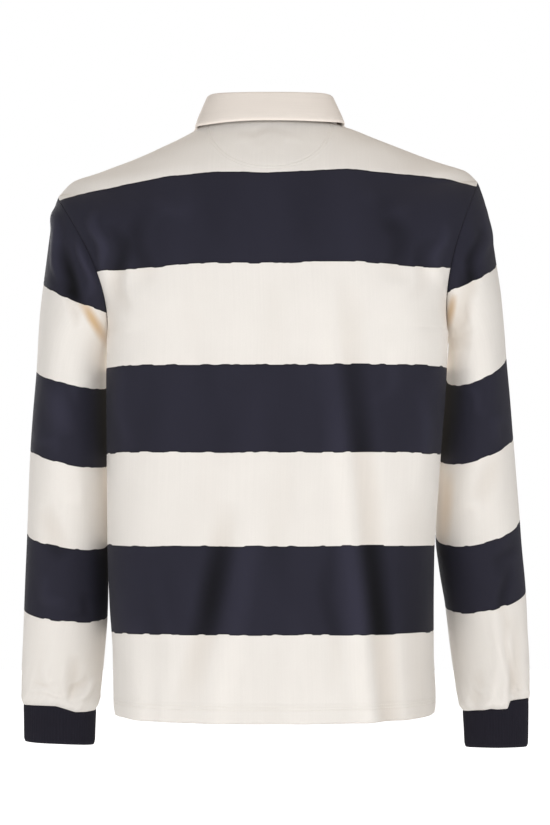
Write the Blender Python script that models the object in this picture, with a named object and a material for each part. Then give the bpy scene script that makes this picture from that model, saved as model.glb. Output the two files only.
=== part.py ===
"""Long-sleeved rugby-style polo shirt, filled out as on a figure, with nobody in it.

Frame: +Z up, -Y the shirt's back, +X the wearer's right. The origin is the middle of the
neck at the height of the shoulders' high points, where the wearer carries the shirt.
Sizes are in millimetres and become metres when a mesh is made.

Every cloth piece is a closed wall: a grid of points on its outer face, and the same points
moved in by the cloth's thickness. Pieces that are sewn together share their seam's points
and its directions, and each steps back from the seam by half of the seam gap.
"""

import math

import bpy
import bmesh
import numpy as np

MM = 0.001

# Cloth and seams
JERSEY = 1.6  # heavy jersey of the body and sleeves
HEM_WALL = 3.0  # the hem is turned up, so it is double
HEM_TURN = 20.0  # height of the turned hem
COLLAR_CLOTH = 2.0
CUFF_CLOTH = 2.6
PATCH_CLOTH = 1.0
PLACKET_CLOTH = 1.8
SEAM_GAP = 0.3

BACK, FRONT = -1, 1
LEFT, RIGHT = -1, 1  # sides as seen from behind, so LEFT is at -X

# The body below the arms: height, left edge, right edge
BODY_EDGES = (
    (-680.0, -179.6, 191.4),
    (-657.0, -180.2, 191.6),
    (-605.0, -181.2, 189.4),
    (-553.0, -184.8, 189.4),
    (-484.0, -187.0, 190.2),
    (-385.0, -187.8, 196.6),
    (-300.0, -188.4, 203.0),
    (-237.0, -187.6, 206.0),
)
# The middle of the back and of the front, from the hem to the neck seam: height, depth
BACK_LINE = (
    (-680.0, -116.0),
    (-606.0, -118.0),
    (-484.0, -119.0),
    (-385.0, -121.0),
    (-281.0, -125.0),
    (-200.0, -128.0),
    (-150.0, -127.0),
    (-105.0, -120.5),
    (-62.0, -107.0),
    (-28.0, -85.0),
    (-5.0, -63.0),
    (4.0, -52.0),
)
FRONT_LINE = (
    (-679.0, 120.0),
    (-606.0, 122.0),
    (-484.0, 124.0),
    (-385.0, 127.0),
    (-281.0, 131.0),
    (-200.0, 131.0),
    (-150.0, 122.0),
    (-110.0, 96.0),
    (-86.0, 73.0),
    (-72.0, 58.0),
)
HEM_SIDE = -677.0
HEM_ROLL = 1.4  # how far the hem's edge curls in
HEM_CURL = 8.0  # height over which it does so
# Heights that the middle of each panel has at the armpit row and at the shoulder-tip row
LEVELS = {BACK: (-241.0, -62.0), FRONT: (-241.0, -150.0)}
# How square the sections are, for the back and the front: 2 is an ellipse
SQUARE = (
    # row, back, front
    (0.0, 2.7, 2.6),
    (0.6, 3.2, 3.0),
    (1.0, 3.7, 3.55),
    (1.23, 3.9, 3.75),
    (1.45, 3.0, 2.7),
    (1.7, 2.5, 2.4),
    (2.0, 2.15, 2.15),
    (3.0, 2.6, 2.15),
)
SHOULDER_DIP = {BACK: 8.0, FRONT: 0.0}

# Shoulder seams from the neck to the tip: reach and height on the left, then on the right
SHOULDER = (
    (-79.0, 3.0, 79.0, 3.0),
    (-92.0, -6.0, 93.0, -1.0),
    (-106.0, -13.5, 112.0, -8.0),
    (-150.0, -31.5, 152.0, -21.5),
    (-196.0, -49.5, 200.0, -40.0),
    (-230.0, -63.5, 229.0, -50.5),
    (-246.5, -80.5, 241.5, -62.5),
)
# Armholes: tip x, tip height, underarm x, underarm height, how far the edge is hollowed
ARMHOLE = {
    LEFT: (-246.5, -80.5, -187.5, -247.0, 17.0),
    RIGHT: (241.5, -62.5, 204.5, -237.0, 14.0),
}
ARMHOLE_DEPTH = 85.0
HOLLOW_SKEW = 0.35  # the hollow is deeper in the armhole's lower half
UNDERARM_DENT = 4.5  # how far the body falls in below the underarm seam
DENT_DROP = 10.0  # how far below the seam it is deepest
DENT_SPREAD = 28.0  # to the front and to the back of the seam

# Sleeve rings: outer x, outer z, inner x, inner z, middle y, half depth, lean in degrees
SLEEVE = {
    LEFT: (
        (-246.5, -80.5, -187.5, -247.0, 0, 85.0, 0),
        (-252.5, -101.0, -188.3, -250.0, 0, 84.5, 1),
        (-256.5, -130.0, -189.0, -254.0, 0, 84.0, 2),
        (-261.2, -166.0, -189.6, -259.0, 0, 83.0, 3),
        (-265.5, -201.0, -190.2, -266.0, 1, 81.0, 5),
        (-268.3, -235.0, -190.6, -276.0, 2, 78.0, 6),
        (-271.2, -281.0, -190.7, -301.0, 5, 73.0, 7),
        (-275.0, -325.0, -190.5, -346.0, 8, 68.0, 7),
        (-278.6, -372.0, -190.2, -392.0, 12, 63.0, 8),
        (-281.4, -420.0, -189.8, -438.0, 18, 59.0, 9),
        (-283.8, -469.0, -189.4, -484.0, 26, 55.0, 10),
        (-286.2, -513.0, -189.4, -526.0, 34, 51.0, 12),
        (-288.5, -556.6, -190.6, -566.5, 42, 46.0, 13),
        (-290.4, -600.0, -194.0, -607.0, 50, 39.0, 11),
        (-292.2, -635.0, -197.5, -640.0, 56, 31.0, 7),
        (-292.8, -658.0, -200.0, -661.0, 59, 24.0, 4),
        (-290.8, -672.5, -205.0, -676.3, 60, 18.0, 2),
    ),
    RIGHT: (
        (241.5, -62.5, 204.5, -237.0, 0, 85.0, 0),
        (249.0, -84.0, 205.8, -240.5, 0, 84.5, 2),
        (255.5, -112.0, 207.1, -246.0, 0, 84.0, 4),
        (261.5, -150.0, 208.0, -252.0, 1, 83.0, 6),
        (267.5, -186.0, 208.4, -260.0, 3, 81.0, 9),
        (270.8, -220.0, 207.8, -271.0, 5, 79.0, 11),
        (274.3, -262.5, 206.0, -293.0, 9, 76.0, 13),
        (279.0, -308.0, 202.6, -338.0, 16, 71.0, 13),
        (284.0, -356.2, 199.0, -385.0, 25, 65.0, 13),
        (289.0, -404.0, 196.0, -430.0, 36, 60.0, 17),
        (294.0, -451.2, 195.0, -474.0, 50, 56.0, 20),
        (298.5, -494.0, 200.0, -514.0, 64, 52.0, 21),
        (303.0, -535.4, 207.5, -554.9, 76, 47.0, 20),
        (306.5, -583.0, 213.0, -597.0, 87, 40.0, 16),
        (309.0, -625.0, 218.5, -635.0, 93, 32.0, 10),
        (309.8, -658.0, 223.5, -666.0, 95, 24.0, 5),
        (308.5, -676.0, 229.5, -682.0, 95, 18.0, 2),
    ),
}
# Cuffs, from the sleeve seam to the open end: the same columns
CUFF = {
    LEFT: (
        (-290.8, -672.5, -205.0, -676.3, 60, 18.0, 2),
        (-290.5, -692.0, -205.8, -696.0, 60.5, 16.5, 2),
        (-290.2, -710.5, -206.6, -714.2, 61, 16.0, 2),
        (-288.8, -715.2, -208.0, -718.8, 61, 14.6, 2),
    ),
    RIGHT: (
        (308.5, -676.0, 229.5, -682.0, 95, 18.0, 2),
        (308.0, -698.0, 231.0, -702.0, 95.5, 16.5, 2),
        (307.6, -720.0, 232.0, -720.6, 96, 16.0, 2),
        (306.2, -724.6, 233.4, -724.8, 96, 14.6, 2),
    ),
}
SQUARE_SLEEVE = 2.1
HEAD_SECTIONS = 4.5  # over these sections a sleeve loses the shape of its armhole
SLEEVE_LEVEL = 4.0  # a sleeve's folds lie on the half behind this, forward of its middle

# Largest folds: piece, x and z where it starts, x and z where it ends, half width, height
FOLD_FADE = 0.7  # how quickly a fold grows from its ends: lower is quicker
FOLD_OPEN = -690.0  # a fold that ends this low runs out through an open edge
FOLD_FACING = 12.0  # over this depth a fold fades at the piece's side
FOLDS = (
    ("back", 112, -300, 110, -700, 24, 3.5),
    ("back", 136, -320, 137, -700, 24, -4.5),
    ("back", -64, -420, -58, -640, 26, -3.0),
    ("back", -150, -560, -146, -700, 22, 3.0),
    ("front", -112, -310, -108, -700, 26, 4.5),
    ("front", -138, -330, -134, -700, 24, -4.5),
    ("front", 84, -400, 92, -700, 28, 3.5),
    ("front", 148, -300, 150, -520, 26, -3.0),
    ("sleeve_left", -214, -190, -206, -262, 15, -4.5),
    ("sleeve_left", -246, -300, -232, -360, 20, 2.5),
    ("sleeve_left", -262, -440, -236, -500, 20, -2.5),
    ("sleeve_left", -226, -610, -232, -670, 13, -3.0),
    ("sleeve_right", 226, -170, 214, -262, 15, -4.5),
    ("sleeve_right", 262, -380, 236, -440, 20, -2.5),
    ("sleeve_right", 291, -560, 292, -690, 12, -3.5),
    ("sleeve_right", 280, -580, 281, -690, 12, 3.0),
    ("sleeve_right", 246, -630, 244, -690, 12, -2.5),
)

# How finely the cloth is divided
COLUMNS = 26  # across a panel
ARM_CROWDING = 0.5  # how much the columns crowd towards an armhole
ARM_ROWS = 11  # along each half of an armhole
SHOULDER_ROWS = 7
LOW_ROWS = 10  # between the hem's turn and the first of the armpit rows
ARMPIT_ROWS = (80.0, 48.0, 25.0, 12.0, 5.0)  # below the armpit
HEM_LIP = 5.0  # height of the lowest row, where the hem's edge is rounded
HEM_STEP = 1.5  # height over which the turned hem thins to one layer
SLEEVE_RINGS = 20
DENSE = 721  # points that a row is first drawn with

# Front opening
SLOT_HALF = 14.0
PLACKET_HALF = 17.0
PLACKET_DROP = 150.0
PLACKET_COLUMNS = 4
PLACKET_TAIL = 7.0  # how far the top strip runs on below the slit
BUTTON_RADIUS = 5.7
BUTTON_HEIGHT = 2.6
BUTTON_DROPS = (15.0, 68.0, 121.0)  # below the neck seam
BUTTON_CLEAR = 0.45  # the shank of thread between a button and the cloth
BUTTON_SIDES = 20
# A button from its seat to its hollowed face: shares of its radius and of its height
BUTTON_PROFILE = (
    (0.0, 0.0),
    (0.86, 0.0),
    (1.0, 0.35),
    (0.97, 0.8),
    (0.82, 1.0),
    (0.7, 0.72),
    (0.0, 0.72),
)

# Collar: where along it (0 middle of the back, 1 front end), stand height, how far the stand
# leans in, then where the leaf's edge lies over the body: row, angle from the seam, height
COLLAR = (
    (0.00, 26.0, 0.0, 2.880, 90.0, 4.6),
    (0.14, 27.0, 0.0, 2.885, 66.0, 4.6),
    (0.27, 28.0, 1.0, 2.910, 38.0, 4.4),
    (0.36, 27.5, 5.0, 2.942, 16.0, 3.0),
    (0.44, 26.0, 8.0, 2.962, 0.0, 2.0),
    (0.54, 24.0, 7.5, 2.915, 12.0, 2.6),
    (0.70, 21.5, 5.5, 2.775, 32.0, 2.8),
    (0.86, 19.0, 4.0, 2.610, 52.0, 2.6),
    (1.00, 17.0, 3.0, 2.440, 68.0, 2.6),
)
COLLAR_SIDE = 0.44  # where the collar passes the shoulder seam
COLLAR_END = 4.0  # half of the space between the collar's front ends
COLLAR_STEPS = 44
SEAM_REACH = 0.06  # how far to both sides the seam's direction is taken
SEAM_LEVEL = 0.84  # from here to its front end the collar turns to face straight ahead
FOLD_RADIUS = 2.9
FOLD_STEPS = 6
LEAF_STEPS = 5
LEAF_BOW = 1.2  # how far the leaf bulges
STAND_STEPS = 3
FOOT_RISE = 0.45  # the stand's lower edge, above the neck seam
FOOT_CLEAR = 0.2  # and inside it
NECK_MIDDLE = 4.0  # depth of the neck's axis
SHOULDER_SLOPE = 120.0  # tells the outer side of the sloping cloth at the neck

# Half-moon patch inside the back of the neck
MOON_HALF = 74.0
MOON_DROP = 86.0
MOON_START = 2.0  # its upper edge, below the neck seam
MOON_END = 1.0  # its lowest row, above the tip of its outline
MOON_ROUND = 2.2  # how round its outline is: 2 is an ellipse
MOON_GAP = 0.5  # between the patch and the back
MOON_ROWS = 7
MOON_COLUMNS = 12

COLOURS = {
    "cream": (0.80, 0.76, 0.70, 1.0),
    "navy": (0.032, 0.031, 0.044, 1.0),
    "button": (0.72, 0.68, 0.60, 1.0),
}


def clear_scene():
    """Empties the file that the script runs in."""
    for item in list(bpy.data.objects):
        bpy.data.objects.remove(item, do_unlink=True)


def unit(vectors):
    """Vectors of length one."""
    return vectors / np.maximum(np.linalg.norm(vectors, axis=-1, keepdims=True), 1e-12)


def smooth_table(keys, rows):
    """Each column of a table as one smooth function of its key, with no overshoot."""
    keys = np.asarray(keys, float)
    values = np.asarray(rows, float)
    slopes = np.diff(values, axis=0) / np.diff(keys)[:, None]
    tangents = np.zeros_like(values)
    tangents[0], tangents[-1] = slopes[0], slopes[-1]
    product = slopes[:-1] * slopes[1:]
    total = np.where(product > 0, slopes[:-1] + slopes[1:], 1.0)
    tangents[1:-1] = np.where(product > 0, 2 * product / total, 0.0)

    def at(key):
        k = int(np.clip(np.searchsorted(keys, key) - 1, 0, len(keys) - 2))
        span = keys[k + 1] - keys[k]
        w = (key - keys[k]) / span
        near = (1 + 2 * w) * (1 - w) ** 2 * values[k] + w * (1 - w) ** 2 * span * tangents[k]
        far = w * w * (3 - 2 * w) * values[k + 1] - w * w * (1 - w) * span * tangents[k + 1]
        return near + far

    return at


def by_length(points, fractions):
    """Points of a line at the given fractions of its length."""
    steps = np.linalg.norm(np.diff(points, axis=0), axis=1)
    along = np.concatenate([[0.0], np.cumsum(steps)])
    wanted = np.asarray(fractions, float) * along[-1]
    return np.stack([np.interp(wanted, along, points[:, k]) for k in range(points.shape[1])], 1)


def ring_points(row, angles, square=2.0):
    """A sleeve or cuff section: angle 0 is its inner edge, and the back comes first."""
    outer_x, outer_z, inner_x, inner_z, middle_y, depth, lean = row
    middle = np.array([(outer_x + inner_x) / 2, middle_y, (outer_z + inner_z) / 2])
    reach = np.array([(outer_x - inner_x) / 2, 0.0, (outer_z - inner_z) / 2])
    back = np.array([0.0, -math.cos(math.radians(lean)), -math.sin(math.radians(lean))])
    power = 2.0 / square
    across = np.sign(np.cos(angles)) * np.abs(np.cos(angles)) ** power
    deep = np.sign(np.sin(angles)) * np.abs(np.sin(angles)) ** power
    return middle - across[:, None] * reach + depth * deep[:, None] * back


def ring_angles():
    """The angles of a sleeve's or cuff's columns, which meet the rows beside the armhole."""
    return math.pi * np.arange(2 * ARM_ROWS) / ARM_ROWS


def hollowing(side, angles):
    """How far the armhole's edge is cut in towards the body, at each angle."""
    hollow = ARMHOLE[side][4]
    inward = -side * hollow * np.sin(angles) ** 2 * (1 + HOLLOW_SKEW * np.cos(angles))
    return np.stack([inward, np.zeros_like(inward), np.zeros_like(inward)], 1)


def armhole_points(side, angles):
    """The armhole seam: angle 0 is the underarm, pi the shoulder tip, the back comes first."""
    tip_x, tip_z, under_x, under_z, _ = ARMHOLE[side]
    row = (tip_x, tip_z, under_x, under_z, 0.0, ARMHOLE_DEPTH, 0.0)
    return ring_points(row, angles) + hollowing(side, angles)


def seam_directions(points, axis):
    """Outward directions across a closed seam, square to it and to the tube's axis."""
    along = np.roll(points, -1, axis=0) - np.roll(points, 1, axis=0)
    out = unit(np.cross(along, axis))
    flip = np.sign(np.sum(out * (points - points.mean(axis=0)), axis=1, keepdims=True))
    return out * flip


def armhole_axis(side):
    """The direction in which a sleeve leaves the body."""
    return np.array([float(side), 0.0, 0.0])


def tube_axis(row):
    """The direction in which a sleeve or cuff leaves one of its sections."""
    outer_x, outer_z, inner_x, inner_z, _, _, lean = row
    reach = np.array([outer_x - inner_x, 0.0, outer_z - inner_z])
    back = np.array([0.0, -math.cos(math.radians(lean)), -math.sin(math.radians(lean))])
    axis = np.cross(reach, back)
    return unit(axis * -np.sign(axis[2]))


def centre_line(face):
    """The middle of a panel from hem to neck, as a function of the row: 0 is the hem, 1 the
    armpit, 2 the shoulder tip and 3 the neck seam."""
    table = np.array(BACK_LINE if face == BACK else FRONT_LINE)
    depth = smooth_table(table[:, 0], table[:, 1:])
    heights = np.linspace(table[0, 0], table[-1, 0], DENSE)
    line = np.array([(depth(z)[0], z) for z in heights])
    marks = [table[0, 0], *LEVELS[face], table[-1, 0]]
    parts = []
    for low, high in zip(marks[:-1], marks[1:]):
        inside = (heights >= low) & (heights <= high)
        parts.append(line[inside])

    def at(row):
        part = min(int(row), 2)
        return by_length(parts[part], [row - part])[0]

    return at


CENTRE = {face: centre_line(face) for face in (BACK, FRONT)}
BODY_EDGE = smooth_table([row[0] for row in BODY_EDGES], [row[1:] for row in BODY_EDGES])
SHOULDER_LINE = smooth_table(range(len(SHOULDER)), SHOULDER)
SQUARE_TABLE = smooth_table([row[0] for row in SQUARE], [row[1:] for row in SQUARE])


def shoulder_seam(share):
    """The two shoulder seams' points at a share of the way from the tip to the neck."""
    line = np.array([SHOULDER_LINE(k) for k in np.linspace(len(SHOULDER) - 1, 0, DENSE)])
    left = by_length(line[:, :2], [share])[0]
    right = by_length(line[:, 2:], [share])[0]
    return np.array([left[0], 0.0, left[1]]), np.array([right[0], 0.0, right[1]])


def row_ends(face, row):
    """Where a row of a panel meets its left and its right seam."""
    if row <= 1.0:
        ends = []
        for side in (LEFT, RIGHT):
            height = HEM_SIDE + row * (ARMHOLE[side][3] - HEM_SIDE)
            edge = BODY_EDGE(height)[0 if side == LEFT else 1]
            curl = HEM_ROLL * max(0.0, 1 - (height - HEM_SIDE) / HEM_CURL)
            ends.append(np.array([edge - side * curl, 0.0, height]))
        if row == 1.0:
            ends = [armhole_points(side, np.array([0.0]))[0] for side in (LEFT, RIGHT)]
        return ends
    if row < 2.0:
        angle = np.array([-face * math.pi * (row - 1.0)])
        return [armhole_points(side, angle)[0] for side in (LEFT, RIGHT)]
    return list(shoulder_seam(row - 2.0))


def dent(row, points):
    """The hollow under each arm, along the side seams."""
    if row > 1.0:
        return points
    out = points.copy()
    for side in (LEFT, RIGHT):
        below = (1.0 - row) * (ARMHOLE[side][3] - HEM_SIDE)
        depth = UNDERARM_DENT * below / DENT_DROP * math.exp(1 - below / DENT_DROP)
        near = np.exp(-((points[:, 1] / DENT_SPREAD) ** 2)) * (np.sign(points[:, 0]) == side)
        out[:, 0] -= side * depth * near
    return out


def body_row(face, row):
    """One line across a panel, from its left seam to its right seam."""
    left, right = row_ends(face, row)
    centre_y, centre_z = CENTRE[face](row)
    square = SQUARE_TABLE(row)[0 if face == BACK else 1]
    start = math.asin(min(1.0, abs(left[1] / centre_y)) ** (square / 2))
    angles = np.linspace(start, math.pi - start, DENSE)
    half = (right[0] - left[0]) / 2 / math.cos(start) ** (2 / square)
    middle = (left[0] + right[0]) / 2
    x = middle - half * np.sign(np.cos(angles)) * np.abs(np.cos(angles)) ** (2 / square)
    y = centre_y * np.abs(np.sin(angles)) ** (2 / square)
    share = (angles - start) / (math.pi - 2 * start)
    side_z = np.where(share < 0.5, left[2], right[2])
    rise = (np.sin(angles) ** 2 - math.sin(start) ** 2) / math.cos(start) ** 2
    dip = SHOULDER_DIP[face] * np.clip(row - 1.0, 0, 1) * np.clip(3.0 - row, 0, 1)
    z = side_z + (centre_z - side_z) * rise - dip * np.sin(2 * math.pi * share) ** 2
    return dent(row, np.stack([x, y, z], axis=1))


def body_point(face, row, degrees, side):
    """A point of a panel, by its row and its angle from the seam on one side."""
    line = body_row(face, row)
    share = degrees / 180.0
    index = share * (DENSE - 1) if side == LEFT else (1 - share) * (DENSE - 1)
    low = int(np.clip(math.floor(index), 0, DENSE - 2))
    return line[low] + (index - low) * (line[low + 1] - line[low])


def row_marks():
    """The rows of both panels, from the hem up, with the thickness of the cloth at each."""
    rise = ARMHOLE[LEFT][3] - HEM_SIDE
    hem = [0.0, HEM_LIP / rise, HEM_TURN / rise, (HEM_TURN + HEM_STEP) / rise]
    top = [1 - drop / rise for drop in ARMPIT_ROWS]
    low = np.linspace(hem[-1], top[0], LOW_ROWS)[1:-1]
    arm = 1 + np.arange(ARM_ROWS + 1) / ARM_ROWS
    shoulder = 2 + np.arange(1, SHOULDER_ROWS + 1) / SHOULDER_ROWS
    rows = np.concatenate([hem, low, top, arm, shoulder])
    walls = np.where(np.arange(len(rows)) < 3, HEM_WALL, JERSEY)
    return rows, walls


def column_shares(face, row, length):
    """The fractions of a row's length at which its columns stand. Beside the armholes they
    crowd towards the seams, so that a column runs on straight past the armpit. The front
    keeps its two middle columns at the edges of the slit."""
    crowding = ARM_CROWDING * max(0.0, math.sin(math.pi * np.clip(row - 1.0, 0, 1))) ** 0.8
    steps = COLUMNS // 2 + (1 if face == BACK else 0)
    side = np.linspace(0, 1, steps)
    side = side - crowding * np.sin(math.pi * side) / math.pi
    if face == BACK:
        return np.concatenate([side / 2, 1 - side[-2::-1] / 2])
    side = side * (0.5 - SLOT_HALF / length)
    return np.concatenate([side, [0.5], 1 - side[::-1]])


def front_middle(line):
    """The share of a front row's length at which it crosses x = 0."""
    steps = np.linalg.norm(np.diff(line, axis=0), axis=1)
    along = np.concatenate([[0.0], np.cumsum(steps)])
    return np.interp(0.0, line[:, 0], along) / along[-1]


def panel_grid(face, rows):
    """A panel's outer points, row by row."""
    grid = []
    for row in rows:
        line = body_row(face, row)
        length = np.linalg.norm(np.diff(line, axis=0), axis=1).sum()
        shares = column_shares(face, row, length)
        if face == FRONT:
            shift = front_middle(line) - 0.5
            shares = shares + shift * np.sin(math.pi * shares)
        grid.append(by_length(line, shares))
    return np.array(grid)


def grid_directions(grid, middle):
    """Outward directions at a grid's points, from their neighbours."""
    across = np.gradient(grid, axis=1)
    up = np.gradient(grid, axis=0)
    out = unit(np.cross(across, up))
    flip = np.sign(np.sum(out * (grid - middle), axis=-1).mean())
    return out * flip


def fold_height(piece, points, level):
    """How far the folds move each point out or in. Level is the middle depth of the piece, and
    a fold lies on the half behind it, or in front of it on the front panel."""
    height = np.zeros(points.shape[:-1])
    flat = points[..., [0, 2]]
    for name, x0, z0, x1, z1, half, tall in FOLDS:
        if name != piece:
            continue
        start = np.array([x0, z0], float)
        run = np.array([x1, z1], float) - start
        share = np.clip((flat - start) @ run / (run @ run), 0, 1)
        away = np.linalg.norm(flat - start - share[..., None] * run, axis=-1) / half
        turn = math.pi / 2 if z1 <= FOLD_OPEN else math.pi
        ends = np.maximum(np.sin(turn * share), 0.0) ** FOLD_FADE
        behind = (level - points[..., 1]) * (-1 if piece == "front" else 1)
        facing = np.clip(behind / FOLD_FACING, 0, 1)
        height += tall * np.clip(1 - away**2, 0, None) ** 2 * ends * facing
    return height


def body_panels():
    """The back and the front: for each its outer points, inner points and directions."""
    rows, walls = row_marks()
    grids = {face: panel_grid(face, rows) for face in (BACK, FRONT)}
    middle = np.array([[[5.0, 0.0, z]] for z in grids[BACK][:, 0, 2]])
    out = {face: grid_directions(grids[face], middle) for face in (BACK, FRONT)}
    armpit = int(np.argmin(np.abs(rows - 1.0)))
    tip = armpit + ARM_ROWS

    for column in (0, -1):  # side and shoulder seams: one direction for both panels
        inward = 1 if column == 0 else -2
        back, front = grids[BACK], grids[FRONT]
        across = back[:, inward] - front[:, inward]
        up = np.gradient(back[:, column], axis=0)
        shared = unit(np.cross(across, up))
        shared *= np.sign(np.sum(shared * (back[:, column] - middle[:, 0]), axis=1, keepdims=True))
        for face in (BACK, FRONT):
            out[face][:, column] = shared

    panels = {}
    for face, name in ((BACK, "back"), (FRONT, "front")):
        grid = grids[face]
        lift = fold_height(name, grid, 0.0)
        lift[:, [0, -1]] = 0.0
        lift[-1] = 0.0
        grid = grid + lift[..., None] * out[face]
        for side, column in ((LEFT, 0), (RIGHT, -1)):
            axis = armhole_axis(side)
            seam_out = seam_directions(armhole_points(side, ring_angles()), axis)
            picks = -face * np.arange(ARM_ROWS + 1) % (2 * ARM_ROWS)
            out[face][armpit : tip + 1, column] = seam_out[picks]
            grid[armpit : tip + 1, column] -= axis * SEAM_GAP / 2
        for column in (0, -1):
            step = np.array([0.0, face * SEAM_GAP / 2, 0.0])
            grid[: armpit + 1, column] += step
            grid[tip:, column] += step
        inner = grid - walls[:, None, None] * out[face]
        panels[face] = (grid, inner, out[face])
    return panels


def add_material(name, roughness):
    """One of the shirt's finishes."""
    material = bpy.data.materials.get(name)
    if material is None:
        material = bpy.data.materials.new(name)
        material.use_nodes = True
        shader = material.node_tree.nodes["Principled BSDF"]
        shader.inputs["Base Color"].default_value = COLOURS[name]
        shader.inputs["Roughness"].default_value = roughness
        shader.inputs["Metallic"].default_value = 0.0
    return material


def add_object(name, bm, finish):
    """Turns a bmesh in millimetres into an object in metres."""
    bmesh.ops.scale(bm, vec=(MM, MM, MM), verts=bm.verts)
    bmesh.ops.recalc_face_normals(bm, faces=bm.faces)
    mesh = bpy.data.meshes.new(name)
    bm.to_mesh(mesh)
    bm.free()
    mesh.shade_smooth()
    mesh.set_sharp_from_angle(angle=math.radians(50))
    item = bpy.data.objects.new(name, mesh)
    bpy.context.collection.objects.link(item)
    mesh.materials.append(add_material(finish, 0.45 if finish == "button" else 0.85))
    return item


def add_wall(name, outer, inner, finish, closed=False, left_out=None):
    """A closed wall between two grids. Closed joins the last column to the first, and
    left_out says for a cell's row and column whether it is cut away."""
    bm = bmesh.new()
    rows, columns = outer.shape[:2]
    layers = [[[bm.verts.new(p) for p in line] for line in face] for face in (outer, inner)]
    count = columns if closed else columns - 1
    sides = {}
    for r in range(rows - 1):
        for c in range(count):
            if left_out and left_out(r, c):
                continue
            corners = [(r, c), (r, (c + 1) % columns), (r + 1, (c + 1) % columns), (r + 1, c)]
            bm.faces.new([layers[0][i][j] for i, j in corners])
            bm.faces.new([layers[1][i][j] for i, j in reversed(corners)])
            for start, end in zip(corners, corners[1:] + corners[:1]):
                if sides.pop((end, start), None) is None:
                    sides[(start, end)] = True
    for (i, j), (k, m) in sides:
        edge = [layers[0][k][m], layers[0][i][j], layers[1][i][j], layers[1][k][m]]
        bm.faces.new(edge)
    loose = [v for v in bm.verts if not v.link_faces]
    bmesh.ops.delete(bm, geom=loose, context="VERTS")
    return add_object(name, bm, finish)


def tube_grid(piece, table, count, square, side=None):
    """Outer points, inner directions of a sleeve or a cuff, from its first section down. The
    rings follow the table's sections, and a sleeve starts at its armhole."""
    angles = ring_angles()
    section = smooth_table(range(len(table)), table)
    grid = []
    for mark in np.linspace(0, len(table) - 1, count):
        fade = max(0.0, 1 - mark / HEAD_SECTIONS) if side else 0.0
        ring = ring_points(section(mark), angles, square + (2.0 - square) * fade)
        if side:
            ring = ring + hollowing(side, angles) * fade * fade * (3 - 2 * fade)
        grid.append(ring)
    grid = np.array(grid)
    middles = grid.mean(axis=1, keepdims=True)
    around = np.roll(grid, -1, axis=1) - np.roll(grid, 1, axis=1)
    out = unit(np.cross(around, np.gradient(grid, axis=0)))
    out *= np.sign(np.sum(out * (grid - middles), axis=-1, keepdims=True))
    lift = np.zeros(grid.shape[:2])
    if side:
        level = middles[..., 1] - SLEEVE_LEVEL
        lift = fold_height(piece, grid, level)
        lift[0] = 0.0
    grid = grid + lift[..., None] * out
    for end, row in ((0, table[0]), (-1, table[-1])):
        axis = armhole_axis(side) if side and end == 0 else tube_axis(row)
        out[end] = seam_directions(grid[end], axis)
        grid[end] += axis * (SEAM_GAP / 2 if end == 0 else -SEAM_GAP / 2)
    return grid, out


def build_sleeves_and_cuffs():
    """Both sleeves, and the cuff at the end of each."""
    for side, word in ((LEFT, "left"), (RIGHT, "right")):
        name = f"sleeve_{word}"
        grid, out = tube_grid(name, SLEEVE[side], SLEEVE_RINGS, SQUARE_SLEEVE, side)
        add_wall(name, grid, grid - JERSEY * out, "cream", closed=True)
        cuff, cuff_out = tube_grid(f"cuff_{word}", CUFF[side], 4, SQUARE_SLEEVE)
        cuff[0] = grid[-1] + tube_axis(CUFF[side][0]) * SEAM_GAP
        cuff_out[0] = out[-1]
        add_wall(f"cuff_{word}", cuff, cuff - CUFF_CLOTH * cuff_out, "navy", closed=True)


def between(grid, row, column):
    """A grid's value between its rows and columns."""
    r = int(np.clip(math.floor(row), 0, grid.shape[0] - 2))
    c = int(np.clip(math.floor(column), 0, grid.shape[1] - 2))
    u, v = row - r, column - c
    low = grid[r, c] * (1 - v) + grid[r, c + 1] * v
    high = grid[r + 1, c] * (1 - v) + grid[r + 1, c + 1] * v
    return low * (1 - u) + high * u


def column_at(grid, row, x):
    """The column at which a grid has this x, at a row or between two."""
    low = int(np.clip(math.floor(row), 0, grid.shape[0] - 2))
    line = grid[low, :, 0] + (row - low) * (grid[low + 1, :, 0] - grid[low, :, 0])
    return float(np.interp(x, line, np.arange(len(line))))


def lifted(panel, row, x, outward):
    """The point of a panel at this row and x, moved out square to the cloth."""
    grid, _, out = panel
    column = column_at(grid, row, x)
    return between(grid, row, column) + unit(between(out, row, column)) * outward


def strip_on(panel, rows, halves, columns, outward, thickness):
    """Outer and inner points of a strip that lies on a panel about its middle, moved out. It
    has one half width for each row."""
    faces = []
    for away in (outward, outward - thickness):
        face = []
        for row, half in zip(rows, halves):
            places = np.linspace(-half, half, columns + 1)
            face.append([lifted(panel, row, x, away) for x in places])
        faces.append(np.array(face))
    return faces


def slit_row(panel):
    """The front panel's row nearest to the slit's lower end."""
    grid = panel[0]
    middle = COLUMNS // 2
    wanted = grid[-1, middle, 2] - PLACKET_DROP
    return int(np.argmin(np.abs(grid[:, middle, 2] - wanted)))


def build_panels(panels):
    """The back, and the front with its slit."""
    grid, inner, _ = panels[BACK]
    add_wall("back", grid, inner, "cream")
    grid, inner, _ = panels[FRONT]
    low = slit_row(panels[FRONT])
    middle = COLUMNS // 2

    def in_slit(r, c):
        return r >= low and c in (middle - 1, middle)

    add_wall("front", grid, inner, "cream", left_out=in_slit)


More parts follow.
